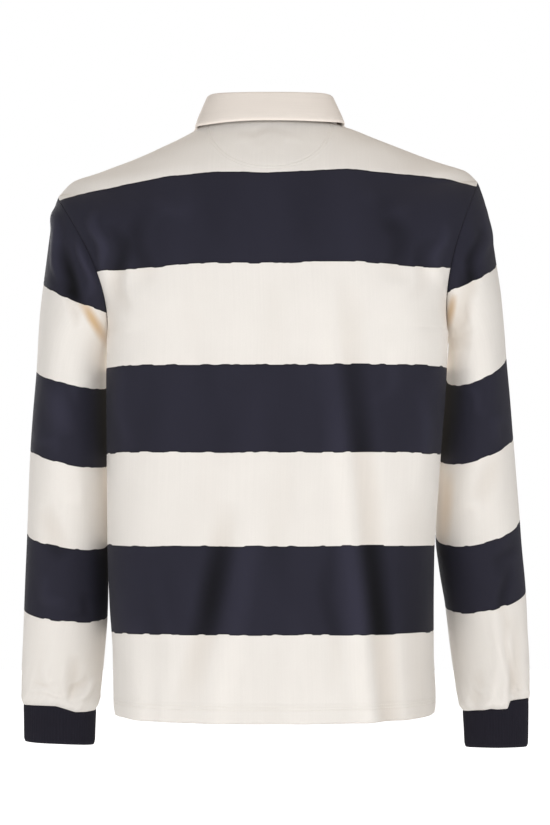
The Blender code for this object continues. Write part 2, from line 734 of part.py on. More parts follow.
def build_placket(panel):
    """The two strips of the front opening and the three buttons that close it."""
    low = slit_row(panel)
    rows = list(range(low, panel[0].shape[0]))
    halves = [SLOT_HALF - SEAM_GAP] * len(rows)
    outer, inner = strip_on(panel, rows, halves, PLACKET_COLUMNS, 0.0, PLACKET_CLOTH)
    for face in (outer, inner):  # clear of the slit's lower end
        face[0] += unit(face[1] - face[0]) * SEAM_GAP
    add_wall("placket_under", outer, inner, "cream")

    rows = [low - 1] + rows
    halves = [PLACKET_HALF] * len(rows)
    away = PLACKET_CLOTH + SEAM_GAP
    outer, inner = strip_on(panel, rows, halves, PLACKET_COLUMNS, away, PLACKET_CLOTH)
    for face in (outer, inner):
        face[0] = face[1] + unit(face[0] - face[1]) * PLACKET_TAIL
    add_wall("placket_over", outer, inner, "cream")
    build_buttons(outer[::-1, PLACKET_COLUMNS // 2])


def line_at(line, along):
    """The point of a line at this length from its start."""
    steps = np.linalg.norm(np.diff(line, axis=0), axis=1)
    lengths = np.concatenate([[0.0], np.cumsum(steps)])
    return np.array([np.interp(along, lengths, line[:, k]) for k in range(3)])


def build_buttons(line):
    """Round buttons, seated along the middle of the front opening's top strip."""
    across = np.array([1.0, 0.0, 0.0])
    for number, drop in enumerate(BUTTON_DROPS, start=1):
        above = line_at(line, drop - BUTTON_RADIUS)
        below = line_at(line, drop + BUTTON_RADIUS)
        down = unit(below - above)
        out = unit(np.cross(down, across))
        out *= np.sign(out[1])
        seat = line_at(line, drop) + out * BUTTON_CLEAR
        add_turned(f"button_{number}", seat, across, down, out)


def add_turned(name, seat, side, down, out):
    """One button, turned about its own axis."""
    bm = bmesh.new()
    count = BUTTON_SIDES
    rings = []
    for radius, height in BUTTON_PROFILE:
        middle = seat + out * height * BUTTON_HEIGHT
        if radius == 0:
            rings.append([bm.verts.new(middle)])
            continue
        ring = []
        for k in range(count):
            turn = 2 * math.pi * k / count
            way = math.cos(turn) * side + math.sin(turn) * down
            ring.append(bm.verts.new(middle + way * radius * BUTTON_RADIUS))
        rings.append(ring)
    for low, high in zip(rings[:-1], rings[1:]):
        for k in range(count):
            following = (k + 1) % count
            corners = [low[k % len(low)], low[following % len(low)]]
            corners += [high[following % len(high)], high[k % len(high)]]
            bm.faces.new(list(dict.fromkeys(corners)))
    return add_object(name, bm, "button")


def build_half_moon(panel):
    """The patch sewn inside the back of the neck, under the cream yoke."""
    grid = panel[0]
    line = grid[::-1, COLUMNS // 2]
    steps = np.linalg.norm(np.diff(line, axis=0), axis=1)
    lengths = np.concatenate([[0.0], np.cumsum(steps)])
    reach = np.sin(np.linspace(0, math.pi / 2, MOON_ROWS + 1))
    drops = MOON_START + (MOON_DROP - MOON_START - MOON_END) * reach
    rows = len(line) - 1 - np.interp(drops, lengths, np.arange(len(lengths)))
    halves = MOON_HALF * (1 - (drops / MOON_DROP) ** MOON_ROUND) ** (1 / MOON_ROUND)
    away = -(JERSEY + MOON_GAP)
    outer, inner = strip_on(panel, rows, halves, MOON_COLUMNS, away, PATCH_CLOTH)
    add_wall("half_moon", outer, inner, "cream")


def collar_seam(panels, place):
    """The neck seam's point at a place along the collar, from -1 to 1."""
    if abs(place) <= COLLAR_SIDE:
        back = panels[BACK][0][-1]
        return by_length(back, [0.5 + 0.5 * place / COLLAR_SIDE])[0]
    front = panels[FRONT][0][-1]
    middle = COLUMNS // 2
    half = front[: middle + 1] if place < 0 else front[middle:][::-1]
    length = np.linalg.norm(np.diff(half, axis=0), axis=1).sum()
    share = (abs(place) - COLLAR_SIDE) / (1 - COLLAR_SIDE)
    return by_length(half, [share * (1 - COLLAR_END / length)])[0]


def collar_frame(panels, place):
    """The neck seam's point at a place along the collar, with the directions square to the
    seam: up the stand and in towards the neck."""
    seam = collar_seam(panels, place)
    ahead = collar_seam(panels, min(1.0, place + SEAM_REACH))
    along = unit(ahead - collar_seam(panels, max(-1.0, place - SEAM_REACH)))
    level = np.clip((abs(place) - SEAM_LEVEL) / (1 - SEAM_LEVEL), 0, 1)
    along = unit(along * (1 - level) + np.array([-1.0, 0.0, 0.0]) * level)
    up = np.array([0.0, 0.0, 1.0])
    up = unit(up - (up @ along) * along)
    inward = np.cross(along, up)
    inward *= -np.sign(inward @ (seam - np.array([0.0, NECK_MIDDLE, seam[2]])))
    return seam, up, inward


def collar_section(panels, place, settings):
    """The visible face of the collar at one place: from the leaf's edge up, over the fold and
    down the stand to the neck seam."""
    _, rise, lean, row, degrees, lift = settings(abs(place))
    seam, up, inward = collar_frame(panels, place)
    side = LEFT if place < 0 else RIGHT
    face = BACK if abs(place) < COLLAR_SIDE else FRONT

    at = body_point(face, row, degrees, side)
    along = body_point(face, row, degrees + 4, side) - at
    climb = body_point(face, row + 0.03, degrees, side) - at
    out = unit(np.cross(along, climb))
    out *= np.sign(out @ np.array([at[0], at[1], SHOULDER_SLOPE]))
    edge = at + out * (lift + COLLAR_CLOTH)

    foot = seam + up * FOOT_RISE + inward * (COLLAR_CLOTH + FOOT_CLEAR)
    tilt = -math.atan2(lean, rise)
    toward_neck = math.cos(tilt) * inward + math.sin(tilt) * up
    top = foot + inward * lean + up * rise
    hinge = top - FOLD_RADIUS * toward_neck
    last = math.pi
    for _ in range(4):  # the turn at which the leaf leaves the fold on its way to the edge
        fall = edge - hinge - FOLD_RADIUS * (math.cos(last) * inward + math.sin(last) * up)
        last = math.atan2(-fall @ inward, fall @ up)
    turns = np.linspace(last, tilt, FOLD_STEPS)
    arc = [hinge + FOLD_RADIUS * (math.cos(t) * inward + math.sin(t) * up) for t in turns]
    shares = np.arange(LEAF_STEPS) / LEAF_STEPS
    bow = [6.75 * k * (1 - k) ** 2 * LEAF_BOW for k in shares]  # greatest a third of the way up
    leaf = [edge + (arc[0] - edge) * k + out * b for k, b in zip(shares, bow)]
    stand = [top + (foot - top) * k / STAND_STEPS for k in range(1, STAND_STEPS + 1)]
    return np.array(leaf + arc + stand)


def build_collar(panels):
    """One-piece collar: a stand that rises from the neck seam and a leaf folded over it."""
    keys = [row[0] for row in COLLAR]
    settings = smooth_table(keys, COLLAR)
    places = np.linspace(-1, 1, COLLAR_STEPS + 1)
    grid = np.array([collar_section(panels, place, settings) for place in places])
    across = np.gradient(grid, axis=1)
    along = np.gradient(grid, axis=0)
    out = unit(np.cross(across, along))
    middle = grid.shape[0] // 2
    if out[middle, 0, 1] > 0:  # the leaf faces backwards in the middle of the back
        out = -out
    add_wall("collar", grid, grid - COLLAR_CLOTH * out, "cream")


def main():
    """Builds the shirt, piece by piece."""
    clear_scene()
    panels = body_panels()
    build_panels(panels)
    build_half_moon(panels[BACK])
    build_placket(panels[FRONT])
    build_sleeves_and_cuffs()
    build_collar(panels)


main()
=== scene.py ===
"""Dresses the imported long-sleeved rugby-style polo shirt: striped jersey, twill collar, ribbed
cuffs, sewing, buttons and a studio.

Frame: +Z up, -Y the shirt's back, +X the wearer's right. Lengths in the tables are in
millimetres and become metres when a mesh is made.

Every cloth piece is a closed wall: a fine grid of points on its outer face, and the same
points moved in by the cloth's thickness, with a rounded lip where an edge is free.
"""

import math
from functools import cache, partialmethod
from itertools import product

import bmesh
import bpy
import numpy as np
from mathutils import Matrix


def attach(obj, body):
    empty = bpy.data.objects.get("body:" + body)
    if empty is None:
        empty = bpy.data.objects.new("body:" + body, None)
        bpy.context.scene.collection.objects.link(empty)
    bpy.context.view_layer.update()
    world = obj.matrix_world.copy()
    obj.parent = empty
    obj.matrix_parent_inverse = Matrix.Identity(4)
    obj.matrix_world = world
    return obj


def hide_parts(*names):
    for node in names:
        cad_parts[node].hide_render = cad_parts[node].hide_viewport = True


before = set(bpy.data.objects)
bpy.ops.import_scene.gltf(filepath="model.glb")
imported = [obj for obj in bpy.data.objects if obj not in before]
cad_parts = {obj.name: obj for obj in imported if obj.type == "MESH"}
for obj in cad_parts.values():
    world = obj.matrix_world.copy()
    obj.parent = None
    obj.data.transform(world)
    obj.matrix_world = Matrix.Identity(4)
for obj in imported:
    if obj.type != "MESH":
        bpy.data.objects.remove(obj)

bl_info = {
    "name": "Rugby Polo Shirt",
    "version": (1, 0, 0),
    "blender": (4, 5, 0),
    "location": "View3D > Sidebar > Shirt",
    "description": "Makes a striped long-sleeved polo shirt, piece by piece",
    "category": "Object",
}

MM = 0.001
BACK, FRONT = -1, 1
LEFT, RIGHT = -1, 1  # sides as seen from behind, so LEFT is at -X

# Cloth, in millimetres
JERSEY = 1.6
HEM_WALL = 3.0
HEM_TURN = 20.0
COLLAR_CLOTH = 2.0
CUFF_CLOTH = 2.2
PATCH_CLOTH = 1.0
PLACKET_CLOTH = 1.8
SEAM_GAP = 0.12

# The body below the arms: height, left edge, right edge
BODY_EDGES = (
    (-680, -179.6, 191.4),
    (-657, -180.2, 191.6),
    (-605, -181.2, 189.4),
    (-553, -184.8, 189.4),
    (-484, -187, 190.2),
    (-385, -187.8, 196.6),
    (-300, -188.4, 203),
    (-237, -187.6, 206),
)
# The middle of the back and of the front, from the hem to the neck seam: height, depth
BACK_LINE = (
    (-680, -116),
    (-606, -118),
    (-484, -119),
    (-385, -121),
    (-281, -125),
    (-200, -128),
    (-150, -127),
    (-105, -120.5),
    (-62, -107),
    (-28, -85),
    (-5, -63),
    (4, -52),
)
FRONT_LINE = (
    (-679, 120),
    (-606, 122),
    (-484, 124),
    (-385, 127),
    (-281, 131),
    (-200, 131),
    (-150, 122),
    (-110, 96),
    (-86, 73),
    (-72, 58),
)
HEM_SIDE = -677.0
HEM_ROLL = 1.4  # how far the hem's edge curls in
HEM_CURL = 8.0  # height over which it does so
# Heights that the middle of each panel has at the armpit row and at the shoulder-tip row
LEVELS = {BACK: (-241.0, -62.0), FRONT: (-241.0, -150.0)}
# How square the sections are: row, back, front; 2 is an ellipse
SQUARE = (
    (0, 2.7, 2.6),
    (0.6, 3.2, 3),
    (1, 3.7, 3.55),
    (1.23, 3.9, 3.75),
    (1.45, 3, 2.7),
    (1.7, 2.5, 2.4),
    (2, 2.15, 2.15),
    (3, 2.6, 2.15),
)
SHOULDER_DIP = {BACK: 8.0, FRONT: 0.0}

# Shoulder seams from the neck to the tip: reach and height on the left, then on the right
SHOULDER = (
    (-79, 3, 79, 3),
    (-92, -6, 93, -1),
    (-106, -13.5, 112, -8),
    (-150, -31.5, 152, -21.5),
    (-196, -49.5, 200, -40),
    (-230, -63.5, 229, -50.5),
    (-246.5, -80.5, 241.5, -62.5),
)
# Armholes: tip x, tip height, underarm x, underarm height, how far the edge is hollowed
ARMHOLE = {
    LEFT: (-246.5, -80.5, -187.5, -247.0, 17.0),
    RIGHT: (241.5, -62.5, 204.5, -237.0, 14.0),
}
ARMHOLE_DEPTH = 85.0
HOLLOW_SKEW = 0.35
UNDERARM_DENT = 4.5  # how far the body falls in below the underarm seam
DENT_DROP = 10.0
DENT_SPREAD = 28.0

# Sleeve rings: outer x, outer z, inner x, inner z, middle y, half depth, lean in degrees
SLEEVE = {
    LEFT: (
        (-246.5, -80.5, -187.5, -247, 0, 85, 0),
        (-252.5, -101, -188.3, -250, 0, 84.5, 1),
        (-256.5, -130, -189, -254, 0, 84, 2),
        (-261.2, -166, -189.6, -259, 0, 83, 3),
        (-265.5, -201, -190.2, -266, 1, 81, 5),
        (-268.3, -235, -190.6, -276, 2, 78, 6),
        (-271.2, -281, -190.7, -301, 5, 73, 7),
        (-275, -325, -190.5, -346, 8, 68, 7),
        (-278.6, -372, -190.2, -392, 12, 63, 8),
        (-281.4, -420, -189.8, -438, 18, 59, 9),
        (-283.8, -469, -189.4, -484, 26, 55, 10),
        (-286.2, -513, -189.4, -526, 34, 51, 12),
        (-288.5, -556.6, -190.6, -566.5, 42, 46, 13),
        (-290.4, -600, -194, -607, 50, 39, 11),
        (-292.2, -635, -197.5, -640, 56, 31, 7),
        (-292.8, -658, -200, -661, 59, 24, 4),
        (-290.8, -672.5, -205, -676.3, 60, 18, 2),
    ),
    RIGHT: (
        (241.5, -62.5, 204.5, -237, 0, 85, 0),
        (249, -84, 205.8, -240.5, 0, 84.5, 2),
        (255.5, -112, 207.1, -246, 0, 84, 4),
        (261.5, -150, 208, -252, 1, 83, 6),
        (267.5, -186, 208.4, -260, 3, 81, 9),
        (270.8, -220, 207.8, -271, 5, 79, 11),
        (274.3, -262.5, 206, -293, 9, 76, 13),
        (279, -308, 202.6, -338, 16, 71, 13),
        (284, -356.2, 199, -385, 25, 65, 13),
        (289, -404, 196, -430, 36, 60, 17),
        (294, -451.2, 195, -474, 50, 56, 20),
        (298.5, -494, 200, -514, 64, 52, 21),
        (303, -535.4, 207.5, -554.9, 76, 47, 20),
        (306.5, -583, 213, -597, 87, 40, 16),
        (309, -625, 218.5, -635, 93, 32, 10),
        (309.8, -658, 223.5, -666, 95, 24, 5),
        (308.5, -676, 229.5, -682, 95, 18, 2),
    ),
}
# Cuffs, from the sleeve seam to the open end: the same columns
CUFF = {
    LEFT: (
        (-290.8, -672.5, -205, -676.3, 60, 18, 2),
        (-290.5, -692, -205.8, -696, 60.5, 16.5, 2),
        (-290.2, -710.5, -206.6, -714.2, 61, 16, 2),
        (-288.8, -715.2, -208, -718.8, 61, 14.6, 2),
    ),
    RIGHT: (
        (308.5, -676, 229.5, -682, 95, 18, 2),
        (308, -698, 231, -702, 95.5, 16.5, 2),
        (307.6, -720, 232, -720.6, 96, 16, 2),
        (306.2, -724.6, 233.4, -724.8, 96, 14.6, 2),
    ),
}
SQUARE_SLEEVE = 2.1
HEAD_SECTIONS = 4.5  # over these sections a sleeve loses the shape of its armhole
SLEEVE_LEVEL = 4.0  # a sleeve's folds lie on the half behind this, forward of its middle

# Folds and creases: x and z where it starts, x and z where it ends, half width, height
FOLD_FADE = 0.7
FOLD_OPEN = -690.0  # a fold that ends this low runs out through an open edge
FOLD_FACING = 12.0  # over this depth a fold fades at the piece's side
FOLDS = {
    "back": (
        (56, -170, 110, -700, 22, 3), (82, -180, 136, -700, 22, -5),
        (166, -420, 178, -700, 34, -3), (-42, -430, -92, -660, 22, -4),
        (-16, -440, -60, -690, 22, 2.6), (-150, -560, -146, -700, 22, 3),
    ),
    "front": (
        (-112, -310, -108, -700, 26, 4.5), (-138, -330, -134, -700, 24, -4.5),
        (84, -400, 92, -700, 28, 3.5), (148, -300, 150, -520, 26, -3),
    ),
    "sleeve_left": (
        (-240, -140, -212, -236, 14, -5), (-246, -300, -232, -360, 20, 2.5),
        (-262, -440, -236, -500, 20, -2.5), (-226, -610, -232, -670, 13, -3),
    ),
    "sleeve_right": (
        (226, -170, 214, -262, 15, -4.5), (262, -380, 236, -440, 20, -2.5),
        (291, -560, 292, -690, 12, -3.5), (280, -580, 281, -690, 12, 3),
        (246, -630, 244, -690, 12, -2.5),
    ),
}
# Painted shade: hollows under the arms where the cream is painted darker and amber, for light let through the
# cloth there
AMBER_SHADE = {
    "sleeve_left": (
        (-214, -204, -184, -256, 9, 1),
    ),
    "sleeve_right": (
        (208, -198, 202, -240, 6, 0.9), (200, -270, 198, -322, 5, 0.9),
        (207, -396, 202, -486, 10, 0.4),
    ),
}
CREASES = {
    # pulls beside the armholes, soft hanging folds, the dip below the collar
    "back": (
        (-199, -104, -186, -182, 10, 3.6), (-174, -120, -164, -226, 14, -3),
        (-140, -96, -150, -200, 18, -1.6), (128, -90, 150, -190, 20, -1.6),
        (196, -118, 186, -190, 10, 2), (176, -136, 164, -210, 13, -1.4),
        (-150, -122, -84, -96, 18, 0.9), (96, -92, 158, -118, 18, 0.9),
        (-36, -12, 24, -10, 9, -1), (-38, -20, -6, -36, 10, 0.8),
        (34, -18, 4, -34, 10, 0.6), (-120, -500, -112, -700, 14, 1.2),
        (24, -540, 28, -700, 18, 1.2), (66, -470, 70, -650, 14, -1.2),
        (176, -300, 168, -430, 12, 1.2), (-172, -270, -162, -380, 12, 1),
        (152, -250, 120, -330, 14, 0.9),
    ),
    # the same kinds of folds, and pulls from the opening's lower end
    "front": (
        (-190, -120, -178, -196, 12, 1.6), (190, -112, 182, -190, 12, 1.6),
        (-24, -236, -44, -330, 12, 1.6), (26, -238, 50, -352, 13, 1.4),
        (2, -240, 4, -420, 16, -1.6), (-96, -132, -40, -170, 14, 1),
        (44, -150, 104, -126, 14, 1), (-60, -480, -56, -700, 16, 1.4),
        (30, -520, 36, -700, 15, -1.3), (-170, -260, -160, -390, 12, 1.2),
        (170, -260, 160, -360, 12, 1.2),
    ),
    # pulls from the underarm, the bend of the elbow, gathers above the cuff
    "sleeve_left": (
        (-258, -84, -230, -196, 10, 4.2), (-214, -112, -202, -204, 9, 4),
        (-226, -196, -204, -240, 8, 1.8), (-204, -286, -226, -318, 9, 1.2),
        (-268, -350, -240, -378, 12, 1.2), (-210, -420, -238, -440, 11, 1.3),
        (-270, -520, -240, -560, 13, 1.2), (-204, -540, -226, -572, 11, -1.2),
        (-284, -655, -234, -660, 4.5, 1.8), (-280, -646, -244, -650, 4.5, -1.4),
        (-200, -640, -229, -668, 5, 3.2), (-212, -636, -238, -664, 6, -2.4),
        (-262, -616, -256, -664, 8, 1.2),
    ),
    # the same, and the deep tuck that runs down into its cuff
    "sleeve_right": (
        (252, -92, 240, -170, 11, 2.2), (238, -120, 226, -200, 11, -3),
        (234, -200, 216, -246, 8, 1.4), (222, -300, 246, -336, 10, 1.2),
        (272, -330, 250, -364, 12, 1.2), (216, -430, 246, -452, 11, 1.3),
        (286, -470, 262, -520, 12, -1.3), (285, -690, 279, -570, 8, -3),
        (279, -600, 272, -500, 10, -1.8), (270, -690, 264, -560, 9, 2),
        (296, -655, 290, -668, 4, 1.3), (262, -640, 258, -690, 6, 1.3),
        (236, -650, 262, -662, 5, 1.2),
    ),
}

# Bands of colour. A band height is in millimetres down from the first navy band's lower edge.
NAVY_BANDS = ((-103.0, 0.0), (113.0, 211.0), (315.0, 414.0))
FIRST_BAND_LOW = -168.0  # frame height of that edge in the middle of the back
# How much lower the first band runs on the way to the shoulders: x, upper edge, lower edge
BAND_DROOP = (
    (-240, 27, 7),
    (-219, 21, 7),
    (-196, 17, 6.5),
    (-173, 12.5, 6.5),
    (-145, 7, 5.5),
    (-118, 2, 4),
    (-62, -1, 0.5),
    (0, 0, 0),
    (87, -6, -1),
    (115, -4, 0),
    (174, -1, 3.5),
    (205, 2, 2),
    (232, 7, 2),
)
# Where the bands meet a sleeve's head: band height at the tip, rise to the underarm, power
HEAD_BANDS = {LEFT: (-97.0, 127.0, 1.465), RIGHT: (-90.0, 124.0, 1.222)}
# Below the head: section of the sleeve, band height
SLEEVE_BANDS = ((6.0, 113.0), (8.0, 211.0), (10.0, 315.0), (12.0, 414.0), (16.0, 530.0))
SLEEVE_SCALE = 1.13  # the body's cream band is this much taller than the sleeve's

# How finely the cloth is divided
COLUMNS = 144  # across the back
FRONT_COLUMNS = 70  # on each side of the slit
SLIT_COLUMNS = 10
BODY_MIDDLE = 5.0  # x of the body's middle
ARM_CROWDING = 0.3  # how much the columns crowd towards an armhole
LOW_ROWS = 136
ARM_ROWS = 66
SHOULDER_ROWS = 48
SLEEVE_RINGS = 208
SLEEVE_COLUMNS = 168
CUFF_RINGS = 26
DENSE = 721  # points that a row is first drawn with
RIPPLE_WAVES = 7
RIPPLE_LEAN = 0.45
RIPPLE_WIDTHS = (0.65, 1.6)  # shares of the stated width
RIPPLES = ((0.8, 92.0), (0.3, 38.0))  # hanging jersey's unevenness: height, width
SEEDS = {"back": 3, "front": 11, "sleeve_left": 21, "sleeve_right": 31, "cuff": 43}
CREASE_WANDER = 0.4  # how far a crease sways, as a share of its half width
SWAY_TURNS = 1.3  # waves along one crease
SWAY_STEP = 0.37  # how much further the next crease's wave has come
LIP = 0.35  # how far a free edge bulges, as a share of the cloth's thickness

# Seams
SEAM_SINK = 0.3  # how deep the cloth is drawn in along a seam
SINK_REACH = 3.2  # over this distance
SEAM_EASE = 14.0  # a fold fades over this distance towards a seam
# Fullness beside a sleeve's seams: step of its seed, height, width of a ripple, and the
# distance over which it fades
CUFF_GATHERS = (5, 2.0, 14.0, 20.0)
HEAD_EASE = (6, 0.45, 24.0, 18.0)
GATHER_START = 3.0  # distance from the seam at which the fullness begins
GATHER_FLAT = 0.2  # how little the ripples change along the sleeve
FOLDS_AT_CUFF = 0.4  # a sleeve's folds have come this far out of the cuff's seam at its line
BAG = (1.1, 8.0, 5.5)  # a sleeve bags over its cuff: height, middle, half width
SEAM_END = 6.0  # the underarm seam is drawn in from here on
# How much higher a cuff's seam lies than its level: x, height
CUFF_SHIFT = {
    LEFT: ((-292, 0.5), (-266, 1.5), (-251, 1.8), (-240, -1), (-228, -4.5), (-216, -4), (-205, -2)),
    RIGHT: ((229, 0), (252, 0), (262, 1.2), (270, 0), (282, 0), (285, 8.5), (309, 9.5)),
}
SHIFT_REACH = 42.0  # the sleeve takes up the shift over this length
CUFF_SHIFT_REACH = 26.0  # and the cuff over this
CUFF_WAVES = (0.5, 46.0)  # a cuff's unevenness: height, width
CUFF_EASE = 10.0
POINTS_A_RIB = 5

# The shoulders sag a little between the neck and the armholes
SAG_DEPTH = 2.6
SAG_FROM = 85.0  # distances from the shirt's middle
SAG_TO = 240.0
SAG_LOW = -130.0  # the sag fades in above this height
SAG_FADE = 60.0

# Painted light: an emitted glow on the cloth where a sleeve hangs beside the body, for light that soaks
# through the cloth into the gap
SOAK_REACH = 26.0
SOAK_TOP = -196.0
SOAK_LENGTH = 420.0
SOAK_START = 4.0  # how fast it begins below the top
BODY_SOAK = 0.4  # the body's share of it
COLLAR_GLOW = (0.22, 3.0)  # painted highlight: a glow emitted along the collar's thin edge: strength, width

# How the cloth looks
DRIFT_WAVES = (12.0, 11.0)  # slow waves of a band's border: across and up the cloth
DRIFT_SHARE = 5.0
STEP_WAVES = (58.0, 13.0)  # its quick steps
BORDER_STEP = (0.48, 0.58, -0.5, 0.8)
CALM_BORDER = 0.3  # share of the steps that the first border has
BORDER_SHADE = (0.2, 2.2, 0.45, 1.0)  # navy beside a border: distances, shades
STREAK_WAVES = (520.0, 9.0)  # uneven dye: streaks, blotches and fuzz, waves in a metre
BLOTCH_WAVES = 21.0
FUZZ_WAVES = 900.0
UNEVEN_SHARES = (0.5, 0.5, 0.35)
UNEVEN_MIDDLE = 0.675
UNEVEN = {"jersey": 0.11, "twill": 0.12, "rib": 0.2}
WEAVE_SHADE = -0.10  # painted shade: how much darker the hollows of a weave are painted
JERSEY_LIGHT = 1.04
TWILL_LIGHT = 1.03
LOOP_HEIGHT = 0.10
RIB_LOOP_HEIGHT = 0.09
TWILL_HEIGHT = 0.08
FUZZ_HEIGHT = 0.04
TWILL_FUZZ = 0.03
FOLD_SHADE_LIMIT = 5.0  # painted shade and light: hollows painted darker and ridges lighter, up to this height
NAVY_FOLD_SHADE = 0.18
CREAM_FOLD_SHADE = 0.02
# painted warm shade in the hollows of folds
WARM_HOLLOW_SHADE = 0.03
TURN_STEP = (-2.4, 1.0, 0.0, 0.55)  # a turned edge: distances, heights
STITCH_DIP = (0.0, 1.5, 0.34, 0.0)
STITCH_LIFT = 0.12  # stitches stand this far out of their cloth
HEM_LIFT = 0.05

# Front opening
SLOT_HALF = 14.0
SLIT_END = 1 + 2 / 11  # row at which the slit ends
PLACKET_HALF = 17.0
PLACKET_TAIL = 7.0
PLACKET_COLUMNS = 16
TAIL_ROWS = 4  # rows of its lower end, below the slit
PLACKET_FACING = (0.0, 1.0, 0.3)  # roughly out of its outer face
BUTTON_RADIUS = 5.7
BUTTON_HEIGHT = 2.6
BUTTON_DROPS = (15.0, 68.0, 121.0)
BUTTON_CLEAR = 0.45
BUTTON_SIDES = 48
# A button from its seat to its hollowed face: shares of its radius and of its height
BUTTON_PROFILE = (
    (0, 0),
    (0.80, 0),
    (0.93, 0.12),
    (1, 0.38),
    (1, 0.66),
    (0.96, 0.86),
    (0.88, 0.98),
    (0.80, 1),
    (0.73, 0.92),
    (0.67, 0.78),
    (0.60, 0.72),
    (0, 0.72),
)
BUTTON_HOLE = 0.85  # radius of a hole
BUTTON_HOLES_APART = 1.5  # half of the space between the holes' middles
HOLE_SIDES = 14
THREAD_LIFT = 0.25
THREAD_CROSS = 0.6  # lift of the thread that crosses over the other
THREAD_APART = 0.28
THREAD_DIVE = 1.1
THREAD_POINTS = 24
SHANK_HALF = 0.5
SHANK_RISE = 0.6
BUTTON_THREAD = (0.0003, 0.00024, 0.0007)  # pitch, radius and stitch in metres
# Buttonholes: half length, half width, lift, and their thread as above
HOLE_HALF = 8.2
HOLE_GAP = 0.9
HOLE_LIFT = 0.1
HOLE_END = 1.1
HOLE_THREAD = (0.00042, 0.0002, 0.0005)
EDGE_STITCH = 3.0  # from the opening's edges
BOX_HEIGHT = 1.6  # the crossed box, as a share of half of its width
SEWN_POINTS = {"side": 200, "end": 24, "cross": 32, "hole": 60, "hole_end": 12, "leaf_end": 60}

# Collar: place along it, stand height, lean, then where the leaf's edge lies over the body:
# row, angle from the seam, height
COLLAR = (
    (0, 28, 0, 2.880, 90, 3.6),
    (0.14, 28.2, 0, 2.885, 66, 3.6),
    (0.27, 29.2, 1.5, 2.912, 38, 3.2),
    (0.36, 27.8, 6, 2.946, 16, 1.8),
    (0.44, 26, 9, 2.966, 0, 1.2),
    (0.54, 24, 7.5, 2.915, 12, 2.6),
    (0.70, 21.5, 5.5, 2.775, 32, 2.8),
    (0.86, 19, 4, 2.610, 52, 2.6),
    (1, 17, 3, 2.440, 68, 2.6),
)
COLLAR_SIDE = 0.44  # where the collar passes the shoulder seam
COLLAR_END = 4.0
COLLAR_STEPS = 260
SEAM_REACH = 0.06
SEAM_LEVEL = 0.84
FOLD_RADIUS = 2.9
FOLD_STEPS = 9
LEAF_STEPS = 26
LEAF_BOW = 0.7
BOW_PEAK = 27 / 4  # brings the greatest bow, a third of the way up the leaf, to one
BODY_PROBE = (4.0, 0.03)  # degrees and rows between the points that give the body's slope
STAND_STEPS = 9
FOOT_RISE = 0.45
FOOT_CLEAR = 0.2
NECK_MIDDLE = 4.0
SHOULDER_SLOPE = 120.0
TOPSTITCH = 4.5  # from the leaf's edge
STITCH_SINK = 0.4  # how deep the thread draws the collar in
STITCH_SPREAD = 1.1

# Half-moon patch inside the back of the neck
MOON_HALF = 74.0
MOON_DROP = 86.0
MOON_START = 2.0
MOON_END = 0.4
MOON_ROUND = 2.2
MOON_GAP = 0.5
MOON_ROWS = 34
MOON_COLUMNS = 60
MOON_FACING = (0.0, -1.0, 0.5)
MOON_LINE = (0.12, 160)  # a row of its stitches: where it starts in radians, points
TWIN_LINES = (1.6, 5.2)  # the two rows of stitches inside a patch's or hem's edge
FAR_OUTSIDE = -30.0  # stands for anywhere away from a turned edge


def unit(vectors):
    """Vectors of length one."""
    return vectors / np.maximum(np.linalg.norm(vectors, axis=-1, keepdims=True), 1e-12)


def soft_step(value):
    """From 0 to 1 with no corner, held outside that range."""
    value = np.clip(value, 0, 1)
    return value * value * (3 - 2 * value)


def smooth_table(keys, rows):
    """Each column of a table as one smooth function of its key, with no overshoot."""
    keys = np.asarray(keys, float)
    values = np.asarray(rows, float)
    slopes = np.diff(values, axis=0) / np.diff(keys)[:, None]
    tangents = np.zeros_like(values)
    tangents[0], tangents[-1] = slopes[0], slopes[-1]
    product = slopes[:-1] * slopes[1:]
    total = np.where(product > 0, slopes[:-1] + slopes[1:], 1.0)
    tangents[1:-1] = np.where(product > 0, 2 * product / total, 0.0)

    def at(key):
        k = int(np.clip(np.searchsorted(keys, key) - 1, 0, len(keys) - 2))
        span = keys[k + 1] - keys[k]
        w = (key - keys[k]) / span
        near = (1 + 2 * w) * (1 - w) ** 2 * values[k] + w * (1 - w) ** 2 * span * tangents[k]
        far = w * w * (3 - 2 * w) * values[k + 1] - w * w * (1 - w) * span * tangents[k + 1]
        return near + far

    return at


def lengths_along(points):
    """How far along a line each of its points is."""
    steps = np.linalg.norm(np.diff(points, axis=0), axis=1)
    return np.concatenate([[0.0], np.cumsum(steps)])


def index_at(lengths, wanted):
    """Where a length lies among the rising lengths of a line's points, in numbers of points."""
    return np.interp(wanted, lengths, np.arange(len(lengths)))


def by_length(points, fractions):
    """Points of a line at the given fractions of its length."""
    along = lengths_along(points)
    wanted = np.asarray(fractions, float) * along[-1]
    return np.stack([np.interp(wanted, along, points[:, k]) for k in range(points.shape[1])], 1)


def ring_points(row, angles, square=2.0):
    """A sleeve or cuff section: angle 0 is its inner edge, and the back comes first."""
    outer_x, outer_z, inner_x, inner_z, middle_y, depth, lean = row
    middle = np.array([(outer_x + inner_x) / 2, middle_y, (outer_z + inner_z) / 2])
    reach = np.array([(outer_x - inner_x) / 2, 0.0, (outer_z - inner_z) / 2])
    back = np.array([0.0, -math.cos(math.radians(lean)), -math.sin(math.radians(lean))])
    power = 2.0 / square
    across = np.sign(np.cos(angles)) * np.abs(np.cos(angles)) ** power
    deep = np.sign(np.sin(angles)) * np.abs(np.sin(angles)) ** power
    return middle - across[:, None] * reach + depth * deep[:, None] * back


def hollowing(side, angles):
    """How far the armhole's edge is cut in towards the body, at each angle."""
    hollow = ARMHOLE[side][4]
    inward = -side * hollow * np.sin(angles) ** 2 * (1 + HOLLOW_SKEW * np.cos(angles))
    return np.stack([inward, np.zeros_like(inward), np.zeros_like(inward)], 1)


